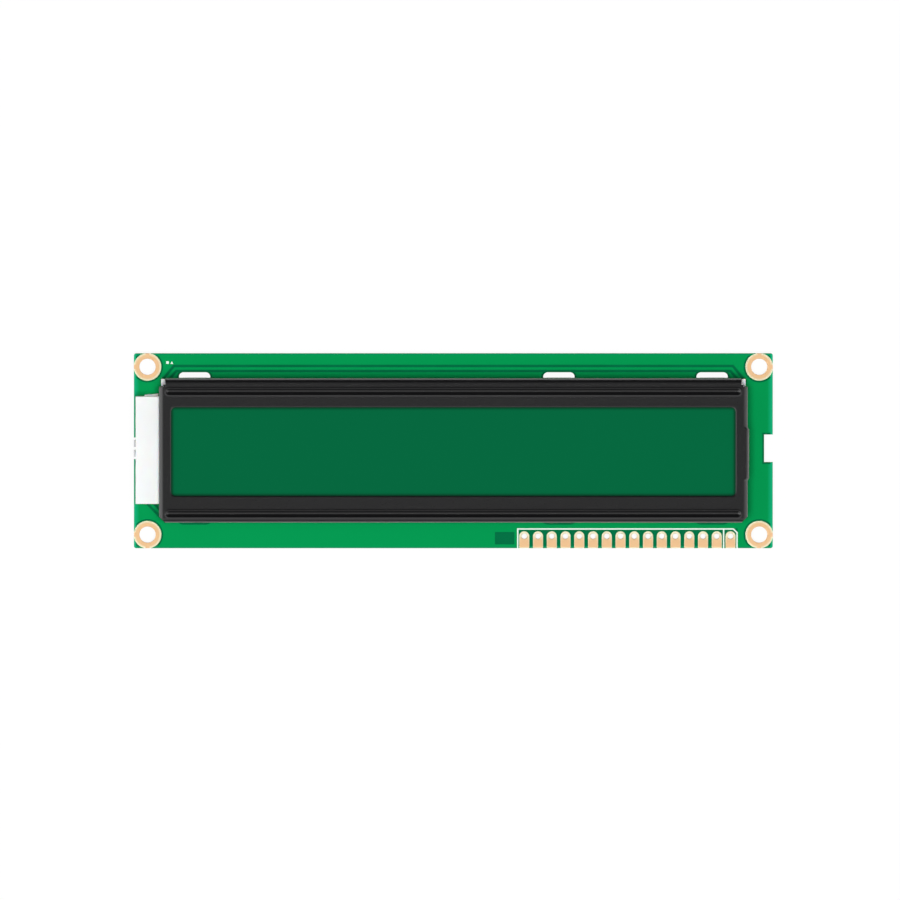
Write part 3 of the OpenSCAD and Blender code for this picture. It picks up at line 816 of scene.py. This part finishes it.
    def bulge_push(self, x: Array, y: Array) -> Array:
        """Gives how far the right wall's middle stretch is pressed out.

        The push is whole over bulge_l, falls to nothing over a sheet's width by a half cosine,
        and fades in across the face from the window's ring to the fold. The fold is drawn
        tighter there: next to the face it moves further than the wall, by up to bulge_pinch.

        Args:
            x: Places along the bezel.
            y: Places across it.

        Returns:
            The push along X at each place.
        """
        ramp = np.clip((np.abs(y - self.bulge_y) - self.bulge_l / 2) / self.sheet, 0, 1)
        start = self.half_l - self.window_side + self.ring_w
        flat = self.half_l - self.fold_r
        grow = np.clip((x - start) / (flat - start), 0, 1)
        tight = self.bulge_pinch * np.clip((self.half_l - x) / self.fold_r, 0, 1)
        return (self.bulge_out + tight) * (1 + np.cos(math.pi * ramp)) / 2 * grow

    def window_ring(self, xs: Array, ys: Array) -> Array:
        """Works out the ring of face between the grid's rectangular hole and the round window.

        Each point of the rectangle goes to its own point on the window's outline: along a side
        it keeps its place, and in a corner an even share of the quarter circle. The rows between
        them crowd towards the window and dip by a quadratic, as punching rolls the edge over.

        Args:
            xs: Grid lines of the rectangle along X, ends included.
            ys: Grid lines of the rectangle along Y, ends included.

        Returns:
            The points of the outer skin, each with the inner skin's behind it.
        """
        reach = self.window_r + self.ring_w
        hub_x, top, low = xs[-1] - self.ring_w - self.window_r, ys[-1] - reach, ys[0] + reach
        sides = []
        for fixed, run, along_x in (
            (ys[0], xs, True),
            (xs[-1], ys, False),
            (ys[-1], xs[::-1], True),
            (xs[0], ys[::-1], False),
        ):
            line = np.column_stack([run, np.full(len(run), fixed)])
            sides.append((line if along_x else line[:, ::-1])[:-1])
        rect = np.vstack(sides)
        hub = np.column_stack([np.clip(rect[:, 0], -hub_x, hub_x), np.clip(rect[:, 1], low, top)])
        arm = rect - hub
        away = np.abs(arm)
        in_corner = away.min(axis=1) > 1e-6
        share = np.where(
            away[:, 1] >= away[:, 0] - 1e-9,
            math.pi / 2 - away[:, 0] / reach * math.pi / 4,
            away[:, 1] / reach * math.pi / 4,
        )
        arc = np.column_stack([np.cos(share), np.sin(share)]) * np.sign(arm)
        unit = np.where(in_corner[:, None], arc, np.sign(arm) * (away > 1e-6))
        edge = hub + unit * self.window_r
        steps = np.array(self.ring_steps)
        rolled = np.clip((steps - self.roll_start) / (1 - self.roll_start), 0, 1)
        flat = rect[None] + (edge - rect)[None] * steps[:, None, None]
        drop = np.broadcast_to(self.roll_depth * rolled[:, None] ** 2, flat.shape[:2])
        under = np.full(flat.shape[:2], self.face - self.sheet)
        return np.dstack([flat, self.face - drop, flat, under])

    def cut_corner(self, lines: Lines, start: float, swap: bool) -> Array:
        """Works out the tip of a fold beside a cut corner.

        The tip runs from the fold's last grid line to the bevel: at each line over the fold it
        ends on the straight cut, or on the mitre where the neighbouring fold meets it first.

        Args:
            lines: The lines across the fold.
            start: Distance from the middle, along the fold, where the grid stops.
            swap: Whether the fold runs along X and not along Y.

        Returns:
            Two rows of the tip's outer points, each with its inner point behind it.
        """
        fold = np.flatnonzero(lines.zone == 1)
        part = slice(fold[0] - 1, fold[-1] + 1)
        place_out, place_in = lines.place[part], lines.place_in[part]
        half, other = (self.half_w, self.half_l) if swap else (self.half_l, self.half_w)
        back = half - place_out
        end = other - np.maximum(self.corner_cut - back, back)
        mitre_in = other - self.fold_r + (place_in - (half - self.fold_r))
        end_in = np.where(back > self.corner_cut / 2 - 1e-6, mitre_in, end)
        skins = []
        for place, far, drop in (
            (place_out, end, lines.drop[part]), (place_in, end_in, lines.drop_in[part])
        ):
            along = np.stack([np.full(len(place), start), far])
            across = np.broadcast_to(place, along.shape)
            height = np.broadcast_to(self.face - drop, along.shape)
            order = (along, across, height) if swap else (across, along, height)
            skins.append(np.dstack(order))
        return np.dstack(skins)

    def grid_lines(self) -> tuple[Array, Array]:
        """Lists the face's grid lines, which crowd where its form turns.

        Returns:
            The lines' places along X, crowded at the beads' ends and the window's corners, and
            along Y, crowded over the beads, the window's corners and the bulge's ramps.
        """
        corner = self.window_r + self.ring_w
        tip = self.half_l - self.bead_end
        ends = np.concatenate(
            [
                np.linspace(tip - self.tip_span[0], tip + self.tip_span[1], self.tip_lines),
                np.linspace(self.ring_x - corner, self.ring_x, self.corner_lines),
                [self.cut_x],
            ]
        )
        tab_edges = [self.tabs - self.tab_w / 2, self.tabs + self.tab_w / 2]
        open_face = np.linspace(-self.face_span, self.face_span, self.face_lines)
        xs = np.concatenate([-ends, ends, *tab_edges, open_face])
        over_bead = np.linspace(-self.bead_span, self.bead_span, self.bead_lines)
        beads = [middle + over_bead for middle in self.bead_middles()]
        ramps = self.bulge_l / 2 + np.linspace(0, self.sheet, self.ramp_lines)
        low, high = self.ring_lo + corner, self.ring_hi - corner
        cuts = [-self.opening_w / 2, self.opening_w / 2, self.cut_y - self.lug_cut, self.cut_y]
        ys = np.concatenate(
            [
                *beads, self.bulge_y + ramps, self.bulge_y - ramps, cuts, [-self.cut_y],
                np.linspace(high, self.ring_hi, self.corner_lines),
                np.linspace(self.ring_lo, low, self.corner_lines),
                np.linspace(low, high, self.corner_lines),
            ]
        )
        return xs, ys[np.abs(ys) < self.half_w - self.fold_r]

    def kept(self, x: Lines, y: Lines) -> Array:
        """Marks the cells that are sheet, and not window, cut corner, opening or tab gap.

        Args:
            x: The grid's lines along X.
            y: Its lines along Y.

        Returns:
            One flag per cell, row by row.
        """
        (x_middle, x_zone), (y_middle, y_zone) = x.cells(), y.cells()
        cx, cy = np.meshgrid(x_middle, y_middle)
        cell_x, cell_y = np.meshgrid(x_zone, y_zone)
        window = (np.abs(cx) < self.ring_x) & (cy < self.ring_hi) & (cy > self.ring_lo)
        face = (cell_x == 0) & (cell_y == 0) & ~window
        face &= (np.abs(cx) < self.cut_x) | (cy < self.cut_y)
        side = (cell_x != 0) & (cell_y == 0) & (cy > -self.cut_y)
        side &= cy < self.cut_y - self.lug_cut
        side &= ~((cell_x == -3) & (np.abs(cy) < self.opening_w / 2))
        on_tab = (np.abs(cx[..., None] - self.tabs) < self.tab_w / 2).any(axis=-1)
        long = (cell_y != 0) & (cell_x == 0) & (np.abs(cx) < self.cut_x)
        long &= (np.abs(cell_y) < 4) | on_tab
        return (face | side | long).reshape(-1)

    def skins(self) -> tuple[Array, Array, Array]:
        """Works out the sheet's outer and inner skins on one set of faces.

        Returns:
            The outer points, the inner points and the quads that both share.
        """
        xs, ys = self.grid_lines()
        x, y = self.lines(self.half_l, False, xs), self.lines(self.half_w, True, ys)
        gx, gy = np.meshgrid(x.place, y.place)
        gx_in, gy_in = np.meshgrid(x.place_in, y.place_in)
        dip = self.bead_drop(gx, gy)
        top = self.face - x.drop[None] - y.drop[:, None] - dip
        extra = (x.drop_in - self.sheet)[None] + (y.drop_in - self.sheet)[:, None]
        under = self.face - self.sheet - extra - dip
        sheet = np.dstack([gx, gy, top, gx_in, gy_in, under])
        parts = [(sheet, grid_faces(*gx.shape)[self.kept(x, y)])]
        ring = self.window_ring(
            x.inside(-self.ring_x, self.ring_x), y.inside(self.ring_lo, self.ring_hi)
        )
        parts.append((ring, loop_faces(*ring.shape[:2])))
        for lines, start, swap in ((x, self.cut_y, False), (y, self.cut_x, True)):
            tip = self.cut_corner(lines, start, swap)
            for sign in (-1, 1):
                turned = tip * np.array([sign, -1.0, 1.0] * 2)
                parts.append((turned, grid_faces(*tip.shape[:2])))
        points, faces = joined(parts)
        return points[:, :3], points[:, 3:], faces

    def build(self) -> Object:
        """Closes the two skins into one sheet and dresses it.

        The inner skin is pushed no further than the wall, so that the sheet keeps its thickness.

        Returns:
            The bezel.
        """
        outer, inner, faces = self.skins()
        push = self.bulge_push(outer[:, 0], outer[:, 1])
        outer[:, 0] += push
        inner[:, 0] += np.minimum(push, self.bulge_out)
        places = np.round(outer, 4)
        _, first, back = np.unique(places, axis=0, return_index=True, return_inverse=True)
        outer, inner, faces = outer[first], inner[first], back.reshape(-1)[faces]
        edges = np.stack([faces, np.roll(faces, -1, axis=1)], axis=-1).reshape(-1, 2)
        key = np.sort(edges, axis=1)
        _, at, seen = np.unique(key, axis=0, return_index=True, return_counts=True)
        rim = edges[at[seen == 1]]
        rim = rim[rim[:, 0] != rim[:, 1]]
        n = len(outer)
        walls = np.column_stack([rim[:, 1], rim[:, 0], rim[:, 0] + n, rim[:, 1] + n])
        points = np.vstack([outer, inner]) + np.array([0, self.middle_y, 0])
        both = np.vstack([faces, faces[:, ::-1] + n, walls])
        used, packed = np.unique(both, return_inverse=True)
        made = piece("stamped_bezel", points[used], packed.reshape(-1, 4), smooth_deg=38.0)
        return self.shop.dress(made, "bezel", Slot.BLACK_STEEL)


# ---- The plated lands ----


@dataclass
class Lands:
    """The plated lands of the mounting holes and the header, each with its barrel.

    fillet is the radius of a hole's rim and pale the width over which the colour pales towards the
    outline. A header pad is also paler above its hole, a painted highlight: by head_level at the
    hole's height, more above it and less below, and it takes head_fade to change by the whole
    range.
    """

    shop: Workshop
    copper: float = 0.06
    board: float = 1.6
    edge: float = 0.03
    plating: float = 0.05
    around: int = 96
    mount_hole_r: float = 1.5
    mount_land_r: float = 2.55
    mount_fillet: float = 0.06
    mount_pale: float = 0.42
    pad_half_w: float = 0.925
    pad_drop: float = 2.2
    pad_hole_r: float = 0.5
    pad_fillet: float = 0.18
    pad_pale: float = 0.2
    pins: int = 16
    shares: tuple[float, ...] = (0.2, 0.4, 0.55, 0.7, 0.85, 1.0)
    pale_gain: float = 1.6
    head_level: float = 0.8
    head_fade: float = 0.9

    def __post_init__(self) -> None:
        """Works out the angles of the sections."""
        self.turn = np.linspace(0, 2 * math.pi, self.around, endpoint=False)

    def land(
        self, name: str, node: str, outline: Array, centre: Array, head: bool
    ) -> Object:
        """Makes one land by carrying a section round its hole.

        At each angle the section starts inside the barrel's middle, rolls over the hole's rim in
        a quarter circle of the fillet's radius, runs out to the outline, drops over the copper's
        edge and repeats on the rear, so the surface closes on itself.

        Args:
            name: The piece's name.
            node: The CAD node that it replaces.
            outline: Distance from the hole's middle to the land's edge at each angle.
            centre: The hole's middle.
            head: Whether it is a header pad and not a mounting land.

        Returns:
            The new piece.
        """
        hole_r = self.pad_hole_r if head else self.mount_hole_r
        fillet = self.pad_fillet if head else self.mount_fillet
        pale = self.pad_pale if head else self.mount_pale
        roll = np.linspace(0, math.pi / 2, 6)[:, None]
        shares = np.array(self.shares)[:, None]
        top = self.board + self.copper
        rim = np.broadcast_to(hole_r + fillet * (1 - np.cos(roll)), (len(roll), self.around))
        run = rim[-1] + (outline - self.edge - rim[-1]) * shares
        barrel = np.full(self.around, hole_r + self.plating)
        upper = np.vstack([rim, run, outline, outline, barrel])
        rise = top - fillet + fillet * np.sin(roll[:, 0])
        level = np.concatenate(
            [rise, np.full(len(shares), top), [top - self.edge, self.board, self.board]]
        )
        radius = np.vstack([upper, upper[::-1]])
        height = np.concatenate([level, self.board - level[::-1]])
        near = np.clip(self.pale_gain * (1 - (outline[None] - radius) / pale), 0, 1)
        # Painted highlight: a header pad's head is paler above its hole and less so below it.
        if head:
            over = self.head_level + radius * np.sin(self.turn)[None] / self.head_fade
            near = np.maximum(near, np.clip(over, 0, 1))
        else:
            near = near * (outline[None] > self.mount_land_r - 0.01)
        x = centre[0] + radius * np.cos(self.turn)
        y = centre[1] + radius * np.sin(self.turn)
        points = np.dstack([x, y, np.broadcast_to(height[:, None], x.shape)]).reshape(-1, 3)
        quads = loop_faces(*radius.shape, closed=True)
        made = shell(name, points, quads.tolist(), smooth_deg=50.0)
        paler = made.data.attributes.new("rim", "FLOAT", "POINT")
        paler.data.foreach_set("value", near.reshape(-1).astype(np.float32))
        return self.shop.dress(made, node, Slot.PLATED_COPPER)

    def mount(self, number: int) -> None:
        """Makes one mounting land, cut off where it passes the board's edges.

        Args:
            number: The land's number.
        """
        node = f"mounting_pad_{number}"
        low, high = (np.array(c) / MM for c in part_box(node))
        board = np.array([np.array(c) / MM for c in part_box("printed_circuit_board")])
        sign = np.sign(low + high)[:2]
        outer = (sign > 0).astype(int)
        edge = board[outer, [0, 1]]
        inner = np.where(sign > 0, low[:2], high[:2])
        centre = inner + self.mount_land_r * sign
        way = np.column_stack([np.cos(self.turn), np.sin(self.turn)]) * sign
        reach = (np.abs(edge - centre) / np.maximum(way, 1e-9)).min(axis=1)
        outline = np.minimum(self.mount_land_r, reach)
        self.land(f"mounting_land_{number}", node, outline, centre, head=False)

    def pad(self, number: int) -> None:
        """Makes one header pad: a round head and a strip that runs to the board's edge.

        Args:
            number: The pad's number.
        """
        node = f"header_pad_{number:02d}"
        low, high = (np.array(c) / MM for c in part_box(node))
        centre = np.array([(low[0] + high[0]) / 2, low[1] + self.pad_drop])
        strip = np.minimum(
            self.pad_half_w / np.maximum(np.abs(np.cos(self.turn)), 1e-9),
            self.pad_drop / np.maximum(-np.sin(self.turn), 1e-9),
        )
        outline = np.where(np.sin(self.turn) >= 0, self.pad_half_w, strip)
        self.land(f"header_land_{number:02d}", node, outline, centre, head=True)

    def build(self) -> None:
        """Makes the four mounting lands and the header's pads."""
        for number in range(1, 5):
            self.mount(number)
        for number in range(1, self.pins + 1):
            self.pad(number)


# ---- Rear parts ----


@dataclass
class RearParts:
    """What sits under the board: the epoxy globs and the chip parts.

    waves are the number of lobes and the depth of each ripple of a glob's outline, as a share of
    its radius. cap_share is the share of a chip's length under each end cap.
    """

    shop: Workshop
    glob_rings: int = 24
    glob_steps: int = 72
    waves: tuple[tuple[int, float], ...] = ((3, 0.012), (5, 0.008))
    cap_share: float = 0.2
    cap_r: float = 0.07
    body_r: float = 0.04
    lip: float = 0.03

    def glob(self, node: str, seed: int) -> None:
        """Makes one glob as a drop that has slumped to a flat crown and a wavy foot.

        Its depth at a share s of the radius is the root of one less the cube of s, and the
        outline's radius carries two small waves whose phases come from the seed.

        Args:
            node: The CAD node that it replaces.
            seed: Sets where the outline's waves start.
        """
        low, high = (np.array(c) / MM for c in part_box(node))
        centre, radius, depth = (low + high) / 2, (high[0] - low[0]) / 2, high[2] - low[2]
        turn = np.linspace(0, 2 * math.pi, self.glob_steps + 1)
        share = np.linspace(0, 1, self.glob_rings)[:, None]
        wave = 1 - sum(
            deep * (1 + np.sin(lobes * turn + phase * seed))
            for phase, (lobes, deep) in enumerate(self.waves, 1)
        )
        fall = depth * (1 - np.sqrt(np.clip(1 - share**3, 0, 1)))
        x = centre[0] + radius * wave[None] * share * np.cos(turn)[None]
        y = centre[1] + radius * wave[None] * share * np.sin(turn)[None]
        drop = np.dstack([x, y, np.broadcast_to(low[2] + fall, x.shape)])
        lid = drop[:1].copy()
        lid[..., 2] = high[2]
        drop = np.concatenate([drop, lid])
        made = piece(f"{node}_drop", drop.reshape(-1, 3), grid_faces(*drop.shape[:2]))
        self.shop.dress(made, node, Slot.BLACK_EPOXY)

    def block(
        self, low: Array, high: Array, radius: float, steps: int = 24
    ) -> tuple[Array, Array]:
        """Works out a block with round edges.

        A ball of the edges' radius is pushed out from the middle: each of its points moves by
        the block's half size less the radius, in the direction its own sign gives on each axis.

        Args:
            low: The block's lowest corner.
            high: Its highest corner.
            radius: Radius of its edges.
            steps: Facets round the ball, a multiple of four.

        Returns:
            Points and quads.
        """
        turn = np.linspace(0, 2 * math.pi, steps + 1) + 1e-6
        rise = np.linspace(-math.pi / 2, math.pi / 2, steps // 2 + 2)
        t, r = np.meshgrid(turn, rise)
        ball = np.dstack([np.cos(t) * np.cos(r), np.sin(t) * np.cos(r), np.sin(r)])
        ball[[0, -1], :, :2] = 0
        sign = np.sign(np.dstack([np.cos(t), np.sin(t), r]))
        core = (high - low) / 2 - radius
        pushed = (low + high) / 2 + ball * radius + sign * core
        pole = np.full((1, pushed.shape[1], 3), (low + high) / 2)
        bottom, top = pole.copy(), pole.copy()
        bottom[..., 2], top[..., 2] = low[2], high[2]
        points = np.concatenate([bottom, pushed, top])
        return points.reshape(-1, 3), grid_faces(*points.shape[:2])

    def chip(self, node: str, slot: Slot) -> None:
        """Makes one chip part: a ceramic body between two tinned end caps.

        Args:
            node: The CAD node that it replaces.
            slot: The finish of its body.
        """
        low, high = (np.array(c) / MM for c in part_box(node))
        size = high - low
        along = int(np.argmax(size[:2]))
        cap = size[along] * self.cap_share
        lip = np.full(3, self.lip)
        lip[along] = cap / 2
        left_end, right_start = high.copy(), low.copy()
        left_end[along], right_start[along] = low[along] + cap, high[along] - cap
        points, faces = joined(
            [
                self.block(low + lip, high - lip, self.body_r),
                self.block(low, left_end, self.cap_r),
                self.block(right_start, high, self.cap_r),
            ]
        )
        made = piece(f"{node}_chip", points, faces)
        centres = np.zeros(len(made.data.polygons) * 3)
        made.data.polygons.foreach_get("center", centres)
        place = centres.reshape(-1, 3)[:, along] / MM
        slack = 0.001
        tinned = (place < left_end[along] + slack) | (place > right_start[along] - slack)
        self.shop.dress(made, node, slot, Slot.TINNED_METAL)
        made.data.polygons.foreach_set("material_index", tinned.astype(np.int32))

    def build(self) -> None:
        """Makes the globs and every chip part."""
        for seed, node in enumerate(("controller_glob", "driver_glob_1", "driver_glob_2"), 1):
            self.glob(node, seed)
        for i in range(1, 6):
            self.chip(f"bias_resistor_{i}", Slot.RESISTOR_BODY)
        for i in range(1, 4):
            self.chip(f"capacitor_{i}", Slot.CAPACITOR_BODY)
        for node in ("oscillator_resistor", "backlight_resistor"):
            self.chip(node, Slot.RESISTOR_BODY)


# ---- The backlight ----


@dataclass
class Backlight:
    """The moulded white frame, its leads and its LEDs."""

    shop: Workshop
    mould_r: float = 0.12
    strip_r: float = 0.05
    led_r: float = 0.08
    leds: int = 3

    def build(self) -> None:
        """Rounds the moulded and bent pieces and dresses them."""
        rows = [
            ("backlight_housing", "backlight_moulding", self.mould_r, Slot.WHITE_PLASTIC),
            ("anode_lead", "anode_strip", self.strip_r, Slot.TINNED_METAL),
            ("cathode_lead", "cathode_strip", self.strip_r, Slot.TINNED_METAL),
        ]
        for i in range(1, self.leds + 1):
            rows.append((f"backlight_led_{i}", f"led_body_{i}", self.led_r, Slot.LED_PACKAGE))
        for node, name, radius, slot in rows:
            self.shop.dress(softened(node, name, radius), node, slot)


# ---- The set ----


@dataclass(frozen=True)
class Lamp:
    """One soft square lamp: its place and side in metres, and its power in watts."""

    name: str
    place: tuple[float, float, float]
    side: float
    watts: float


@dataclass
class Studio:
    """Camera, lights, floor and backdrop.

    The four glows are how bright the room looks in reflections towards its left, its right, its
    near side and overhead, and ambient is its light on matt surfaces. Lengths are in metres where
    a name doesn't end in mm.
    """

    distance: float = 6.0
    field_mm: float = 166.25
    aim_mm: tuple[float, float, float] = (-0.62, 0.14, 1.6)
    lean_deg: float = 1.2
    left_glow: float = 1.8
    right_glow: float = 1.0
    near_glow: float = 0.75
    zenith_glow: float = 0.15
    ambient: float = 0.2
    floor_half: float = 0.9
    floor_gap_mm: float = 0.02
    floor_white: float = 0.93
    lamps: tuple[Lamp, ...] = (
        Lamp("overhead", (0.0, -0.07, 1.2), 0.3, 11.8),
        Lamp("left_box", (-0.9, -0.1, 0.76), 0.6, 1.4),
        Lamp("right_box", (0.9, -0.1, 0.76), 0.6, 1.4),
    )

    def camera(self) -> None:
        """Sets the camera above the display, leaning a little towards its top."""
        data = bpy.data.cameras.new("camera")
        data.sensor_width = 36.0
        data.lens = data.sensor_width * self.distance / (self.field_mm * MM)
        data.clip_start, data.clip_end = 0.1, 30.0
        made = bpy.data.objects.new("camera", data)
        bpy.context.scene.collection.objects.link(made)
        lean = math.radians(self.lean_deg)
        back = np.array([0, math.sin(lean), math.cos(lean)])
        made.location = (np.array(self.aim_mm) * MM + self.distance * back).tolist()
        made.rotation_euler = (-lean, 0, 0)
        bpy.context.scene.camera = made

    def hang(self, lamp: Lamp) -> None:
        """Hangs one lamp that faces the part, and that no glossy surface mirrors.

        Args:
            lamp: The lamp.
        """
        data = bpy.data.lights.new(lamp.name, "AREA")
        data.shape, data.size, data.energy = "SQUARE", lamp.side, lamp.watts
        made = bpy.data.objects.new(lamp.name, data)
        bpy.context.scene.collection.objects.link(made)
        made.location = lamp.place
        x, y, z = np.array(lamp.place) / np.linalg.norm(lamp.place)
        made.rotation_euler = (math.acos(z), 0, math.atan2(y, x) + math.pi / 2)
        made.visible_glossy = False

    @staticmethod
    def blank(tree: Tree) -> tuple[Any, Any]:
        """Empties a tree and tells its rays apart.

        Args:
            tree: The tree.

        Returns:
            The outputs that name each ray, and one that is 1 for what the camera sees directly
            or through glass.
        """
        tree.nodes.clear()
        rays = add(tree, "LightPath").outputs
        seen = add(
            tree,
            "Math",
            {0: rays["Is Camera Ray"], 1: rays["Is Transmission Ray"]},
            operation="MAXIMUM",
        ).outputs[0]
        return rays, seen

    def surroundings(self) -> None:
        """Sets a soft grey world for light, which shows as white behind the part.

        In reflections the room is brighter towards the left, the right and the near side, in
        proportion to each direction's own component, and dark towards the far side.
        """
        world = bpy.data.worlds.new("world")
        bpy.context.scene.world = world
        world.use_nodes = True
        tree = world.node_tree
        rays, seen = self.blank(tree)
        place = add(tree, "TexCoord").outputs["Generated"]
        towards = add(tree, "SeparateXYZ", {0: place}).outputs
        low, high = self.zenith_glow, self.zenith_glow + self.left_glow
        glow = add(
            tree, "MapRange", {0: towards[0], 1: -0.1, 2: -1.0, 3: low, 4: high}
        ).outputs[0]
        for axis, start, end, level in (
            (0, 0.1, 1.0, self.right_glow),
            (1, -0.1, -0.4, self.near_glow),
            (1, -0.4, -0.75, -self.near_glow),
        ):
            share = add(tree, "MapRange", {0: towards[axis], 1: start, 2: end, 4: level})
            glow = add(tree, "Math", {0: glow, 1: share.outputs[0]}).outputs[0]
        far = add(
            tree,
            "MapRange",
            {0: towards[1], 1: 0.05, 2: 0.35, 3: 1.0, 4: 0.02},
            interpolation_type="SMOOTHSTEP",
        ).outputs[0]
        glow = add(tree, "Math", {0: glow, 1: far}, operation="MULTIPLY").outputs[0]
        dim = add(
            tree, "Mix", {0: rays["Is Glossy Ray"], 2: self.ambient, 3: glow}, data_type="FLOAT"
        ).outputs[0]
        level = add(tree, "Mix", {0: seen, 2: dim, 3: 1.0}, data_type="FLOAT").outputs[0]
        back = add(tree, "Background", {"Color": "#ffffff", "Strength": level}).outputs[0]
        add(tree, "OutputWorld", {"Surface": back})

    def floor(self) -> None:
        """Lays a pale floor just under the globs, white to the camera with a faint shadow."""
        z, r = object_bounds()[0].z - self.floor_gap_mm * MM, self.floor_half
        mesh = bpy.data.meshes.new("floor")
        corners = [(-r, -r, z), (r, -r, z), (r, r, z), (-r, r, z)]
        mesh.from_pydata(corners, [], [(0, 1, 2, 3)])
        made = bpy.data.objects.new("floor", mesh)
        bpy.context.scene.collection.objects.link(made)
        paint = bpy.data.materials.new("floor_paper")
        paint.use_nodes = True
        tree = paint.node_tree
        _, seen = self.blank(tree)
        matt = add(tree, "BsdfDiffuse", {"Color": "#ffffff"}).outputs[0]
        glow = add(tree, "Emission", {"Color": "#ffffff", "Strength": 1.0}).outputs[0]
        share = add(tree, "MapRange", {0: seen, 4: self.floor_white}).outputs[0]
        both = add(tree, "MixShader", {0: share, 1: matt, 2: glow}).outputs[0]
        add(tree, "OutputMaterial", {"Surface": both})
        mesh.materials.append(paint)
        made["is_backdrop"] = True

    def build(self) -> None:
        """Sets the whole stage."""
        bpy.context.scene.view_settings.view_transform = "Standard"
        self.camera()
        self.surroundings()
        self.floor()
        for lamp in self.lamps:
            self.hang(lamp)


@dataclass
class CadNodes:
    """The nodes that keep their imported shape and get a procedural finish."""

    shop: Workshop

    def build(self) -> None:
        """Gives every node the material of its record's slot."""
        slots = {s["node"]: s["material_slot"] for s in frame["record"]["subparts"]}
        for name, node in frame["nodes"].items():
            node.data.materials.clear()
            node.data.materials.append(self.shop.made[Slot(slots[name])])
        LOG.info("%d CAD nodes dressed", len(slots))


def main() -> None:
    """Builds the module's pieces and the set."""
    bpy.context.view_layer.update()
    shop = Workshop()
    shop.build()
    CadNodes(shop).build()
    Bezel(shop).build()
    Lands(shop).build()
    Backlight(shop).build()
    RearParts(shop).build()
    Studio().build()


if __name__ == "__main__":
    main()
